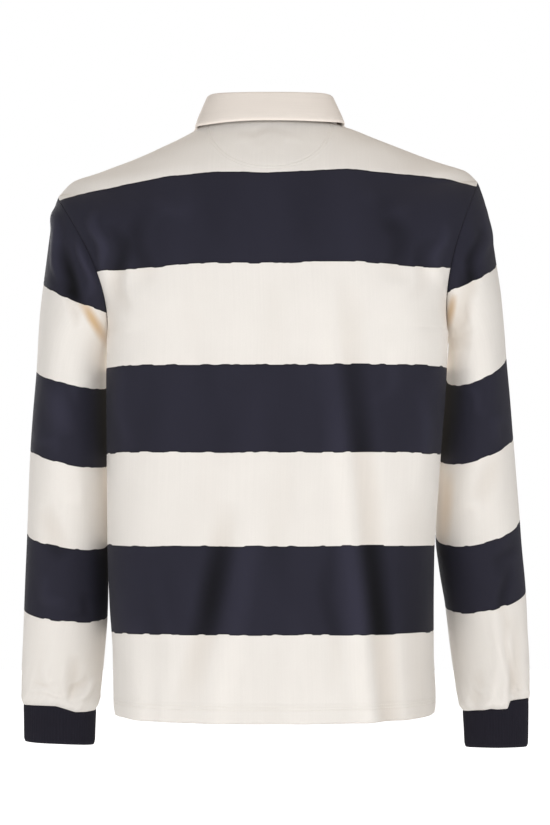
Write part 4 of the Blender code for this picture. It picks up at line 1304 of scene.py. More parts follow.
def add_node(tree, kind, values=None, **settings):
    """A node with its settings, and each of its inputs set to a value or joined to a socket."""
    item = tree.nodes.new(kind)
    for key, value in settings.items():
        setattr(item, key, value)
    for key, value in (values or {}).items():
        value = getattr(value, "socket", value)
        if isinstance(value, bpy.types.NodeSocket):
            tree.links.new(value, item.inputs[key])
        else:
            item.inputs[key].default_value = value
    return item


class Value:
    """What a node gives, so that a formula can be written out of Math nodes."""

    def __init__(self, socket):
        self.socket = socket

    def node(self, operation, *others):
        """The result of a Math node that takes this value and then the others."""
        values = dict(enumerate((self, *others)))
        item = add_node(self.socket.id_data, "ShaderNodeMath", values, operation=operation)
        return Value(item.outputs[0])

    __add__ = partialmethod(node, "ADD")
    __sub__ = partialmethod(node, "SUBTRACT")
    __mul__ = partialmethod(node, "MULTIPLY")
    __truediv__ = partialmethod(node, "DIVIDE")
    __pow__ = partialmethod(node, "POWER")
    __abs__ = partialmethod(node, "ABSOLUTE")

    def __rsub__(self, other):
        return self * -1.0 + other

    def wave(self, operation):
        """The sine or cosine of this many turns."""
        return (self * (2 * math.pi)).node(operation)

    def to(self, socket):
        """Joins this value to an input."""
        socket.id_data.links.new(self.socket, socket)


def new_group(name, kind, inputs, outputs):
    """An empty node group with named sockets: name and kind, and an input's first value."""
    tree = bpy.data.node_groups.new(name, kind)
    for label, socket, value in inputs:
        item = tree.interface.new_socket(label, in_out="INPUT", socket_type=f"NodeSocket{socket}")
        if value is not None:
            item.default_value = value
    for label, socket in outputs:
        tree.interface.new_socket(label, in_out="OUTPUT", socket_type=f"NodeSocket{socket}")
    return tree, tree.nodes.new("NodeGroupInput").outputs, tree.nodes.new("NodeGroupOutput").inputs


def split_vector(vector):
    """The first two numbers of a vector."""
    outputs = add_node(vector.id_data, "ShaderNodeSeparateXYZ", {0: vector}).outputs
    return Value(outputs[0]), Value(outputs[1])


def stretched(vector, across, up):
    """Cloth coordinates multiplied by one number across and by another up the cloth."""
    values = {0: vector, 1: (across, up, 1.0)}
    return add_node(vector.id_data, "ShaderNodeVectorMath", values, operation="MULTIPLY").outputs[0]


def noise(vector, scale, detail=2.0, roughness=0.5):
    """A Noise Texture's value."""
    values = {"Vector": vector, "Scale": scale, "Detail": detail, "Roughness": roughness}
    return Value(add_node(vector.id_data, "ShaderNodeTexNoise", values).outputs["Fac"])


def attribute(tree, name):
    """What is kept under this name at each point of a piece."""
    return Value(add_node(tree, "ShaderNodeAttribute", attribute_name=name).outputs["Fac"])


def ramp(value, start, end, first, last):
    """Goes from first to last while the value goes from start to end, and stays there."""
    values = {0: value, 1: start, 2: end, 3: first, 4: last}
    return Value(add_node(value.socket.id_data, "ShaderNodeMapRange", values).outputs[0])


def mix(tree, share, first, second, kind="MIX"):
    """A share of the second colour in the first."""
    values = {0: share, 6: first, 7: second}
    item = add_node(tree, "ShaderNodeMix", values, data_type="RGBA", blend_type=kind)
    return Value(item.outputs[2])


def tint(tree, colour, shade):
    """A colour made lighter or darker by a number that changes over the cloth."""
    return mix(tree, 1.0, colour, shade, "MULTIPLY")


def bump(height, distance, normal):
    """Feeds a height in units of the distance to a shader's normal."""
    values = {"Height": height, "Distance": distance, "Strength": 1.0}
    Value(add_node(normal.id_data, "ShaderNodeBump", values).outputs[0]).to(normal)


RELIEF = (("Height", "Float"), ("Hollow", "Float"))  # what both weaves give


def knit_group():
    """Shader group for knitted loops: upright wales of small V-shaped loops."""
    inputs = (("Cloth", "Vector", None), ("Wale", "Float", 0.0012), ("Course", "Float", 0.0009))
    tree, given, result = new_group("Knit Loops", "ShaderNodeTree", inputs, RELIEF)
    across, up = split_vector(given["Cloth"])
    side = abs((across / given["Wale"]).node("FRACT") - 0.5) * 2.0
    leg = (side * math.pi).node("SINE")
    loop = (up / given["Course"] - side * 0.9).wave("COSINE")
    height = leg**0.7 * (loop * 0.32 + 0.68)
    height.to(result["Height"])
    (1.0 - height).to(result["Hollow"])
    return tree


def twill_group():
    """Shader group for twill: fine slanting ridges crossed by its threads."""
    inputs = (("Cloth", "Vector", None), ("Ridge", "Float", 0.0009))
    tree, given, result = new_group("Twill Weave", "ShaderNodeTree", inputs, RELIEF)
    across, up = split_vector(given["Cloth"])
    ridge = abs(((across + up * 0.8) / given["Ridge"] * math.pi).node("SINE"))
    thread = (up / (Value(given["Ridge"]) * 0.5)).wave("SINE")
    height = ridge * (thread * 0.15 + 0.85)
    height.to(result["Height"])
    (1.0 - height).to(result["Hollow"])
    return tree


def uneven_group():
    """Shader group for the unevenness of dyed cotton: soft blotches, upright streaks where
    yarns differ, and slubs."""
    inputs = (("Cloth", "Vector", None), ("Place", "Vector", None), ("Amount", "Float", 0.04))
    outputs = (("Shade", "Float"), ("Fuzz", "Float"))
    tree, given, result = new_group("Uneven Dye", "ShaderNodeTree", inputs, outputs)
    streak = noise(stretched(given["Cloth"], *STREAK_WAVES), 1.0, 3.0)
    blotch = noise(given["Place"], BLOTCH_WAVES, 3.0)
    fuzz = noise(given["Place"], FUZZ_WAVES, 2.0, 0.7)
    shares = UNEVEN_SHARES
    total = streak * shares[0] + blotch * shares[1] + fuzz * shares[2]
    ((total - UNEVEN_MIDDLE) * given["Amount"] + 1.0).to(result["Shade"])
    fuzz.to(result["Fuzz"])
    return tree


def stitch_group():
    """Geometry group that lays a row of stitches along each line of the mesh it is given."""
    inputs = (
        ("Lines", "Geometry", None),
        ("Pitch", "Float", 0.003),
        ("Stitch", "Float", 0.0024),
        ("Thread", "Float", 0.00025),
        ("Material", "Material", None),
    )
    outputs = (("Stitches", "Geometry"),)
    tree, given, result = new_group("Stitch Row", "GeometryNodeTree", inputs, outputs)
    curve = add_node(tree, "GeometryNodeMeshToCurve", {"Mesh": given["Lines"]}).outputs["Curve"]
    values = {"Curve": curve, "Length": given["Pitch"]}
    points = add_node(tree, "GeometryNodeCurveToPoints", values, mode="LENGTH").outputs
    values = {"Segments": 6, "Rings": 4, "Radius": 1.0}
    bead = add_node(tree, "GeometryNodeMeshUVSphere", values).outputs["Mesh"]
    turn = add_node(tree, "FunctionNodeAlignRotationToVector", {"Vector": points["Tangent"]}, axis="Z")
    half = Value(given["Stitch"]) * 0.5
    size = add_node(tree, "ShaderNodeCombineXYZ", {0: given["Thread"], 1: given["Thread"], 2: half})
    values = {"Points": points["Points"], "Instance": bead, "Scale": size.outputs[0]}
    values["Rotation"] = turn.outputs["Rotation"]
    placed = add_node(tree, "GeometryNodeInstanceOnPoints", values).outputs[0]
    real = add_node(tree, "GeometryNodeRealizeInstances", {0: placed}).outputs[0]
    smooth = add_node(tree, "GeometryNodeSetShadeSmooth", {0: real}).outputs[0]
    done = add_node(tree, "GeometryNodeSetMaterial", {"Geometry": smooth, "Material": given["Material"]})
    Value(done.outputs[0]).to(result["Stitches"])
    return tree


def rib_group():
    """Geometry group that raises fine upright ribs round a knitted tube. It reads the turn
    round the tube from the attribute around, and which face a point is on from side."""
    inputs = (
        ("Tube", "Geometry", None),
        ("Ribs", "Int", 76),
        ("Depth", "Float", 0.0004),
        ("Material", "Material", None),
    )
    tree, given, result = new_group("Rib Knit", "GeometryNodeTree", inputs, (("Ribbed", "Geometry"),))
    around, side = (
        Value(add_node(tree, "GeometryNodeInputNamedAttribute", {"Name": name}, data_type="FLOAT").outputs[0])
        for name in ("around", "side")
    )
    rib = ((around * given["Ribs"]).wave("COSINE") * 0.5 + 0.5) ** 0.8
    raised = (rib - 0.5) * given["Depth"] * side
    normal = add_node(tree, "GeometryNodeInputNormal").outputs[0]
    offset = add_node(tree, "ShaderNodeVectorMath", {0: normal, "Scale": raised}, operation="SCALE")
    values = {"Geometry": given["Tube"], "Offset": offset.outputs[0]}
    moved = add_node(tree, "GeometryNodeSetPosition", values).outputs[0]
    values = {"Geometry": moved, "Name": "rib", "Value": rib}
    kept = add_node(tree, "GeometryNodeStoreNamedAttribute", values, data_type="FLOAT", domain="POINT")
    real = add_node(tree, "GeometryNodeRealizeInstances", {0: kept.outputs[0]}).outputs[0]
    done = add_node(tree, "GeometryNodeSetMaterial", {"Geometry": real, "Material": given["Material"]})
    Value(done.outputs[0]).to(result["Ribbed"])
    return tree


GROUPS = {
    "Knit Loops": knit_group,
    "Twill Weave": twill_group,
    "Uneven Dye": uneven_group,
    "Stitch Row": stitch_group,
    "Rib Knit": rib_group,
}


def node_group(name):
    """A node group, built the first time that it is needed."""
    return bpy.data.node_groups.get(name) or GROUPS[name]()


def shader_group(tree, name, values):
    """The outputs of a shader group, by name."""
    item = add_node(tree, "ShaderNodeGroup", values, node_tree=node_group(name))
    return {output.name: Value(output) for output in item.outputs}


def cloth_groups(tree, place, weave, sizes, amount):
    """The cloth's coordinates, and what its weave and its uneven dye give."""
    cloth = add_node(tree, "ShaderNodeUVMap", uv_map="cloth").outputs[0]
    made = shader_group(tree, weave, {"Cloth": cloth, **sizes})
    dye = shader_group(tree, "Uneven Dye", {"Cloth": cloth, "Place": place, "Amount": amount})
    return cloth, made, dye


def band_mask(tree, cloth, wobble):
    """1 on the navy bands and 0 on the cream, with the slightly uneven borders of knitting, and
    a shade that darkens the navy beside a border."""
    band = attribute(tree, "band")
    drift = noise(stretched(cloth, *DRIFT_WAVES), 1.0, 1.0) - 0.5
    step = ramp(noise(stretched(cloth, *STEP_WAVES), 1.0, 1.0, 0.4), *BORDER_STEP)
    first = NAVY_BANDS[0][0]  # the first border is the calmest
    rough = ramp(band, first, first + 30.0, CALM_BORDER, 1.0)
    band = band + (drift * DRIFT_SHARE + step * rough) * (wobble / MM)
    depths = [(band - high).node("MINIMUM", low - band) for high, low in NAVY_BANDS]
    deepest = depths[0]
    for depth in depths[1:]:
        deepest = deepest.node("MAXIMUM", depth)
    return ramp(deepest, -0.25, 0.25, 0.0, 1.0), ramp(deepest, *BORDER_SHADE)


def turned_edge(tree):
    """The relief over a turned hem or a patch: a soft step and the dips of two stitch rows."""
    turn = attribute(tree, "turn")
    relief = ramp(turn, *TURN_STEP)
    for line in TWIN_LINES:
        relief = relief - ramp(abs(turn - line), *STITCH_DIP)
    return relief


def striped_jersey(tree, shader, place, colours):
    """Heavy cotton jersey, cream with navy bands knitted in."""
    cloth, knit, dye = cloth_groups(tree, place, *jersey_knit(colours))
    mask, edge = band_mask(tree, cloth, colours.band_wobble)
    # painted shade and light: the navy is painted darker in the hollows of folds and lighter on their ridges,
    # the cream a little
    nap = attribute(tree, "nap").node("MINIMUM", FOLD_SHADE_LIMIT).node("MAXIMUM", -FOLD_SHADE_LIMIT)
    navy = tint(tree, (*colours.navy, 1.0), edge * (nap * NAVY_FOLD_SHADE + 1.0))
    # painted warm shade: amber in the hollows under the arms and a little in every fold's hollow
    amber = attribute(tree, "amber") + nap.node("MINIMUM", 0.0) * -WARM_HOLLOW_SHADE
    cream = mix(tree, amber, (*colours.cream, 1.0), (*colours.amber, 1.0))
    cream = tint(tree, cream, nap * CREAM_FOLD_SHADE + 1.0)
    shade = dye["Shade"] * (knit["Hollow"] * WEAVE_SHADE + JERSEY_LIGHT)
    tint(tree, mix(tree, mask, cream, navy), shade).to(shader["Base Color"])
    # painted light: a glow emitted beside the sleeves, weak on the navy
    glow = attribute(tree, "soak") * (mask * -0.95 + 1.0)
    tint(tree, (*colours.soak, 1.0), glow).to(shader["Emission Color"])
    shader["Emission Strength"].default_value = 1.0
    (dye["Fuzz"] * 0.12 + (mask * -0.08 + 0.80)).to(shader["Roughness"])
    height = dye["Fuzz"] * FUZZ_HEIGHT + (knit["Height"] * LOOP_HEIGHT + turned_edge(tree))
    bump(height, MM, shader["Normal"])


def jersey_knit(colours):
    """What the two jerseys share: their weave, its sizes and the unevenness of their dye."""
    return "Knit Loops", {"Wale": colours.wale, "Course": colours.wale * 0.75}, UNEVEN["jersey"]


def plain_jersey(tree, shader, place, colours):
    """The cream jersey of the neck's patch, without bands."""
    _, knit, dye = cloth_groups(tree, place, *jersey_knit(colours))
    shade = dye["Shade"] * (knit["Hollow"] * WEAVE_SHADE + JERSEY_LIGHT)
    tint(tree, (*colours.cream, 1.0), shade).to(shader["Base Color"])
    bump(knit["Height"] * LOOP_HEIGHT, MM, shader["Normal"])


def cream_twill(tree, shader, place, colours):
    """Cotton twill of the collar and of the front opening."""
    sizes = {"Ridge": colours.twill_ridge}
    _, weave, dye = cloth_groups(tree, place, "Twill Weave", sizes, UNEVEN["twill"])
    shade = dye["Shade"] * (weave["Hollow"] * WEAVE_SHADE + TWILL_LIGHT)
    tint(tree, (*colours.twill, 1.0), shade).to(shader["Base Color"])
    # painted highlight: a glow emitted along the collar's edge
    tint(tree, (*colours.twill, 1.0), attribute(tree, "soak")).to(shader["Emission Color"])
    shader["Emission Strength"].default_value = 1.0
    bump(dye["Fuzz"] * TWILL_FUZZ + weave["Height"] * TWILL_HEIGHT, MM, shader["Normal"])


def navy_rib(tree, shader, place, colours):
    """Navy rib knit of the cuffs, with painted shade between its ribs."""
    sizes = {"Wale": colours.rib_pitch / 2, "Course": colours.rib_pitch * 0.35}
    _, knit, dye = cloth_groups(tree, place, "Knit Loops", sizes, UNEVEN["rib"])
    shade = dye["Shade"] * (attribute(tree, "rib") * 0.16 + 0.9)
    tint(tree, (*colours.navy_rib, 1.0), shade).to(shader["Base Color"])
    bump(dye["Fuzz"] * FUZZ_HEIGHT + knit["Height"] * RIB_LOOP_HEIGHT, MM, shader["Normal"])


def twisted_thread(tree, shader, place, colours):
    """Cream sewing thread: two plies twisted along each stitch."""
    ply = noise(place, 2600.0, 1.0)
    tint(tree, (*colours.thread, 1.0), ply * 0.2 + 0.9).to(shader["Base Color"])
    bump(ply, 0.05 * MM, shader["Normal"])


def horn_plastic(tree, shader, place, colours):
    """Cast plastic with the cloudy swirl of horn, finely specked."""
    swirl = noise(place, 260.0, 4.0, 0.6)
    speck = noise(place, 3000.0, 2.0)
    tint(tree, (*colours.button, 1.0), swirl * 0.5 + 0.72).to(shader["Base Color"])
    (speck * 0.2 + 0.24).to(shader["Roughness"])
    bump(speck, 0.02 * MM, shader["Normal"])


# Materials: how they are filled, then roughness, sheen and specular level
MATERIALS = {
    "striped_jersey": (striped_jersey, 0.88, 0.05, 0.14),
    "cream_jersey_plain": (plain_jersey, 0.88, 0.10, 0.14),
    "cream_twill_cloth": (cream_twill, 0.80, 0.06, 0.14),
    "navy_rib_knit": (navy_rib, 0.85, 0.08, 0.14),
    "sewing_thread": (twisted_thread, 0.60, 0.20, 0.50),
    "cloudy_button": (horn_plastic, 0.50, 0.00, 0.50),
}


def shirt_material(name):
    """One of the materials, built the first time that a piece asks for it."""
    material = bpy.data.materials.get(name)
    if material:
        return material
    fill, roughness, sheen, specular = MATERIALS[name]
    material = bpy.data.materials.new(name)
    material.use_nodes = True
    tree = material.node_tree
    shader = tree.nodes["Principled BSDF"].inputs
    shader["Roughness"].default_value = roughness
    shader["Sheen Weight"].default_value = sheen
    shader["Sheen Roughness"].default_value = 0.5
    shader["Specular IOR Level"].default_value = specular
    place = add_node(tree, "ShaderNodeTexCoord").outputs["Object"]
    fill(tree, shader, place, bpy.context.scene.shirt_cloth)
    return material


def keep_result(item, modifier):
    """Evaluates an object and keeps the result as its plain mesh, without the modifier."""
    item.update_tag()
    bpy.context.view_layer.update()
    graph = bpy.context.evaluated_depsgraph_get()
    made = bpy.data.meshes.new_from_object(item.evaluated_get(graph), depsgraph=graph)
    item.modifiers.remove(modifier)
    old, item.data = item.data, made
    bpy.data.meshes.remove(old)
    made.name = item.name
    if not made.polygons:
        raise RuntimeError(f"{item.name}: its modifier made nothing")
    return made


def run_group(item, name, values):
    """Puts a geometry group on an object and keeps what it makes."""
    modifier = item.modifiers.new("make", "NODES")
    modifier.node_group = node_group(name)
    for socket in modifier.node_group.interface.items_tree:
        if socket.in_out == "INPUT" and socket.name in values:
            modifier[socket.identifier] = values[socket.name]
    keep_result(item, modifier)


def add_stitches(name, lines, pitch=None, thread=None, stitch=None):
    """Rows of stitches along lines of points in millimetres."""
    sewing = bpy.context.scene.shirt_sewing
    mesh = bpy.data.meshes.new(name)
    points, edges = [], []
    for line in lines:
        edges += [(len(points) + k, len(points) + k + 1) for k in range(len(line) - 1)]
        points += [tuple(np.asarray(p) * MM) for p in line]
    mesh.from_pydata(points, edges, [])
    item = add_object(name, mesh)
    pitch = pitch or sewing.stitch_pitch
    values = {
        "Pitch": pitch,
        "Stitch": stitch or pitch * sewing.stitch_share,
        "Thread": thread or sewing.thread_radius,
        "Material": shirt_material("sewing_thread"),
    }
    run_group(item, "Stitch Row", values)
    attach(item, "root")
    return item


def finish_cloth(item, node):
    """Parents a finished cloth piece under the root, and hides the imported part that it replaces."""
    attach(item, "root")
    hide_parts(node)


def hem_lines(surface):
    """The two stitch rows along a panel's hem."""
    last = surface.grid.shape[1] - 1
    places = np.linspace(0.5, last - 0.5, 2 * last)
    lines = []
    for inside in TWIN_LINES:
        row = index_at(surface.along[:, (last + 1) // 2], HEM_TURN - inside)
        lines.append([surface.at(row, place, HEM_LIFT) for place in places])
    return lines


def patch_lines(back):
    """The two stitch rows that hold the half-moon patch, as they show on the back."""
    drops = neck_drops(back.along)
    power = 2 / MOON_ROUND
    start, count = MOON_LINE
    lines = []
    for inside in TWIN_LINES:
        line = []
        for turn in np.linspace(start, math.pi - start, count):
            x = -(MOON_HALF - inside) * math.copysign(abs(math.cos(turn)) ** power, math.cos(turn))
            drop = (MOON_DROP - inside) * math.sin(turn) ** power
            line.append(back.lifted(row_at_drop(drops, drop), x, HEM_LIFT))
        lines.append(line)
    return lines


class SHIRT_OT_body(bpy.types.Operator):
    """Makes the back and the front of striped jersey, with their hems"""

    bl_idname = "shirt.body"
    bl_label = "Back and Front"

    def execute(self, context):
        low = int(slit_rows()[0])

        def slit(r, c):
            return (r >= low) & (c >= FRONT_COLUMNS) & (c < FRONT_COLUMNS + SLIT_COLUMNS)

        for face, node, hole in ((BACK, "back", None), (FRONT, "front", slit)):
            surface = make_panels()[face]
            material = shirt_material("striped_jersey")
            item = add_wall(f"{node}_jersey", surface, material, hole=hole, free_rows=[0])
            sewn = [add_stitches(f"{node}_hem_stitches", hem_lines(surface))]
            if face == BACK:
                sewn.append(add_stitches("neck_patch_stitches", patch_lines(surface)))
            finish_cloth(item, node)
        return {"FINISHED"}


class SHIRT_OT_sleeves(bpy.types.Operator):
    """Makes both long sleeves, gathered a little onto their cuffs"""

    bl_idname = "shirt.sleeves"
    bl_label = "Sleeves"

    def execute(self, context):
        for side, word in ((LEFT, "left"), (RIGHT, "right")):
            surface = make_sleeve(side, word)
            material = shirt_material("striped_jersey")
            item = add_wall(f"sleeve_{word}_jersey", surface, material, closed=True)
            finish_cloth(item, f"sleeve_{word}")
        return {"FINISHED"}


class SHIRT_OT_cuffs(bpy.types.Operator):
    """Makes both cuffs of navy rib knit"""

    bl_idname = "shirt.cuffs"
    bl_label = "Cuffs"

    def execute(self, context):
        sewing = context.scene.shirt_sewing
        ribs = int(round(sewing.cuff_round / context.scene.shirt_cloth.rib_pitch))
        material = shirt_material("navy_rib_knit")
        values = {"Ribs": ribs, "Depth": sewing.rib_depth, "Material": material}
        for side, word in ((LEFT, "left"), (RIGHT, "right")):
            surface = make_cuff(side, ribs)
            item = add_wall(f"cuff_{word}_rib", surface, material, closed=True, free_rows=[-1])
            self.mark(item, surface)
            run_group(item, "Rib Knit", values)
            finish_cloth(item, f"cuff_{word}")
        return {"FINISHED"}

    def mark(self, item, surface):
        """Stores how far round the cuff each point is, and on which of its faces."""
        rings, columns = surface.grid.shape[:2]
        turn = np.tile(np.linspace(0, 1, columns, endpoint=False), rings)
        face = np.ones(len(turn))
        rest = np.zeros(len(item.data.vertices) - 2 * len(turn))
        store(item, "around", np.concatenate([turn, turn, rest]))
        store(item, "side", np.concatenate([face, -face, rest]))


class SHIRT_OT_collar(bpy.types.Operator):
    """Makes the twill collar, topstitched along its leaf"""

    bl_idname = "shirt.collar"
    bl_label = "Collar"

    def execute(self, context):
        surface = make_collar(make_panels())
        # painted highlight: a glow emitted along the leaf's edge
        glow, width = COLLAR_GLOW
        surface.fields["soak"] = glow * np.exp(-((surface.across / width) ** 2))
        material = shirt_material("cream_twill_cloth")
        item = add_wall("collar_twill", surface, material, free_rows=[0, -1], free_columns=[0])
        sewn = add_stitches("collar_topstitch", [self.leaf_line(surface)])
        finish_cloth(item, "collar")
        return {"FINISHED"}

    def leaf_line(self, surface):
        """The row of stitches along the leaf's edge and up both of its front ends."""

        def column(row):
            return index_at(surface.across[int(row)], TOPSTITCH)

        last = surface.grid.shape[0] - 1
        first = index_at(surface.along[:, 0], TOPSTITCH)
        rows = np.linspace(first, last - first, 2 * last)
        line = [surface.at(row, column(row), STITCH_LIFT) for row in rows]
        ends = []
        for row in (first, last - first):
            places = np.linspace(column(row), LEAF_STEPS - 1, SEWN_POINTS["leaf_end"])
            ends.append([surface.at(row, place, STITCH_LIFT) for place in places])
        return ends[0][::-1] + line + ends[1]


class SHIRT_OT_neck_patch(bpy.types.Operator):
    """Makes the half-moon patch inside the back of the neck"""

    bl_idname = "shirt.neck_patch"
    bl_label = "Neck Patch"

    def execute(self, context):
        surface = make_half_moon(make_panels()[BACK])
        material = shirt_material("cream_jersey_plain")
        item = add_wall("half_moon_jersey", surface, material, free_rows=[0, -1], free_columns=[0, -1])
        finish_cloth(item, "half_moon")
        return {"FINISHED"}


class SHIRT_OT_opening(bpy.types.Operator):
    """Makes the two strips of the front opening, with their sewing and buttonholes"""

    bl_idname = "shirt.opening"
    bl_label = "Front Opening"

    def execute(self, context):
        under, over = make_placket(make_panels()[FRONT])
        material = shirt_material("cream_twill_cloth")
        item = add_wall("placket_under_twill", under, material)
        finish_cloth(item, "placket_under")
        item = add_wall("placket_over_twill", over, material, free_rows=[0, -1], free_columns=[0, -1])
        sewn = [
            add_stitches("placket_stitches", self.edge_lines(over)),
            add_stitches("buttonhole_stitches", self.hole_lines(over), *HOLE_THREAD),
        ]
        finish_cloth(item, "placket_over")
        return {"FINISHED"}

    def edge_lines(self, over):
        """Stitches down both edges, across the lower end, and the crossed box above it."""
        column = over.along[:, PLACKET_COLUMNS // 2]
        inset = PLACKET_HALF - EDGE_STITCH
        low, high = index_at(column, [EDGE_STITCH, EDGE_STITCH + BOX_HEIGHT * inset])
        top = len(column) - 2.0

        def line(kind, rows, places):
            count = SEWN_POINTS[kind]
            points = zip(np.linspace(*rows, count), np.linspace(*places, count))
            return [over.lifted(row, x, STITCH_LIFT) for row, x in points]

        sides = [line("side", (low, top), (x, x)) for x in (-inset, inset)]
        box = [line("end", (row, row), (-inset, inset)) for row in (low, high)]
        crossed = [line("cross", (low, high), (-x, x)) for x in (inset, -inset)]
        return sides + box + crossed

    def hole_lines(self, over):
        """The upright buttonholes behind the buttons, edged with close stitches."""
        column = over.along[:, PLACKET_COLUMNS // 2]
        lines = []
        for drop in BUTTON_DROPS:
            low, high = index_at(column, column[-1] - drop + np.array([-HOLE_HALF, HOLE_HALF]))
            rows = np.linspace(low, high, SEWN_POINTS["hole"])
            places = np.linspace(-HOLE_END, HOLE_END, SEWN_POINTS["hole_end"])
            for x in (-HOLE_GAP, HOLE_GAP):
                lines.append([over.lifted(row, x, HOLE_LIFT) for row in rows])
            for row in (low, high):
                lines.append([over.lifted(row, x, STITCH_LIFT) for x in places])
        return lines


class SHIRT_OT_buttons(bpy.types.Operator):
    """Makes the three buttons, each with four holes and crossed thread"""

    bl_idname = "shirt.buttons"
    bl_label = "Buttons"

    def execute(self, context):
        _, over = make_placket(make_panels()[FRONT])
        line = over.grid[::-1, PLACKET_COLUMNS // 2]
        length = lengths_along(line)[-1]
        across = np.array([1.0, 0.0, 0.0])
        for number, drop in enumerate(BUTTON_DROPS, start=1):
            drops = drop + BUTTON_RADIUS * np.array([-1.0, 0.0, 1.0])
            above, seat, below = by_length(line, drops / length)
            down = unit(below - above)
            out = unit(np.cross(down, across))
            out *= np.sign(out[1])
            place = seat + out * BUTTON_CLEAR, across, down, out
            item = self.turned(number, *place)
            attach(item, "root")
            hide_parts(f"button_{number}")
            self.thread(number, *place)
        return {"FINISHED"}

    def ring(self, bm, middle, radius, sides, side, down):
        """A ring of points about a place on a button's axis."""
        turns = 2 * math.pi * np.arange(sides) / sides
        ways = np.cos(turns)[:, None] * side + np.sin(turns)[:, None] * down
        return [bm.verts.new(p * MM) for p in middle + ways * radius]

    def turned(self, number, seat, side, down, out):
        """One button, turned about its own axis, with four holes cut through it."""
        bm = bmesh.new()
        rings = []
        for radius, height in BUTTON_PROFILE:
            sides = BUTTON_SIDES if radius else 1
            middle = seat + out * height * BUTTON_HEIGHT
            rings.append(self.ring(bm, middle, radius * BUTTON_RADIUS, sides, side, down))
        for low, high in zip(rings[:-1], rings[1:]):
            for k in range(BUTTON_SIDES):
                following = (k + 1) % BUTTON_SIDES
                corners = [low[k % len(low)], low[following % len(low)]]
                corners += [high[following % len(high)], high[k % len(high)]]
                bm.faces.new(list(dict.fromkeys(corners)))
        body = self.mesh_object(f"button_{number}_cast", bm)
        bm = bmesh.new()
        for x, y in product((-1, 1), repeat=2):
            middle = seat + (x * side + y * down) * BUTTON_HOLES_APART
            ends = [
                self.ring(bm, middle + out * height, BUTTON_HOLE, HOLE_SIDES, side, down)
                for height in (-1.0, BUTTON_HEIGHT + 1.0)
            ]
            bm.faces.new(ends[0])
            bm.faces.new(ends[1][::-1])
            for k in range(HOLE_SIDES):
                following = (k + 1) % HOLE_SIDES
                bm.faces.new([ends[0][k], ends[1][k], ends[1][following], ends[0][following]])
        holes = self.mesh_object(f"holes_{number}", bm)
        cut = body.modifiers.new("holes", "BOOLEAN")
        cut.operation = "DIFFERENCE"
        cut.object = holes
        made = keep_result(body, cut)
        bpy.data.objects.remove(holes, do_unlink=True)
        made.materials.clear()
        made.materials.append(shirt_material("cloudy_button"))
        made.shade_smooth()
        made.set_sharp_from_angle(angle=math.radians(50))
        return body

    def mesh_object(self, name, bm):
        """A mesh object from a bmesh, with its faces turned outward."""
        bmesh.ops.recalc_face_normals(bm, faces=bm.faces)
        mesh = bpy.data.meshes.new(name)
        bm.to_mesh(mesh)
        bm.free()
        return add_object(name, mesh)

    def thread(self, number, seat, side, down, out):
        """The crossed threads on a button's face, and the shank between it and the cloth."""
        top = seat + out * (BUTTON_PROFILE[-1][1] * BUTTON_HEIGHT + THREAD_LIFT)
        dive = out * THREAD_DIVE
        lines = []
        for turn, lift in ((-1, THREAD_CROSS), (1, THREAD_LIFT)):
            half = (side * turn + down) * BUTTON_HOLES_APART
            for beside in (-THREAD_APART, THREAD_APART):
                middle = top + side * beside
                start, end = middle - half, middle + half
                points = [start - dive, start, middle + out * lift, end, end - dive]
                lines.append(by_length(np.array(points), np.linspace(0, 1, THREAD_POINTS)))
        for y, x in product((-SHANK_HALF, SHANK_HALF), repeat=2):
            foot = seat + x * side + y * down
            lines.append([foot - out * BUTTON_CLEAR, foot, foot + out * SHANK_RISE])
        item = add_stitches(f"button_{number}_thread", lines, *BUTTON_THREAD)


# Studio: the light's name, its place, its size and its colour
WHITE = (1.0, 1.0, 1.0)
LIGHTS = (
    ("key", (-1.9, -2.8, 0.0), 2.6, WHITE),
    ("fill", (1.95, -2.75, 0.0), 2.2, WHITE),
    ("front", (-1.2, 3.0, 0.6), 1.8, WHITE),
    ("top", (0.2, 0.6, 2.3), 1.6, (1.0, 0.80, 0.58)),  # warm on the shoulders
)
SHIRT_MIDDLE = (0.005, 0.0, -0.36)
SHIRT_LOW = -0.725
CAMERA_PLACE = (0.0058, -2.9, -0.443)
CAMERA_TILT = 92.23  # degrees from straight down
SURROUND_COLOUR = (1.0, 0.985, 0.97, 1.0)
FLOOR_REACH = 7.0


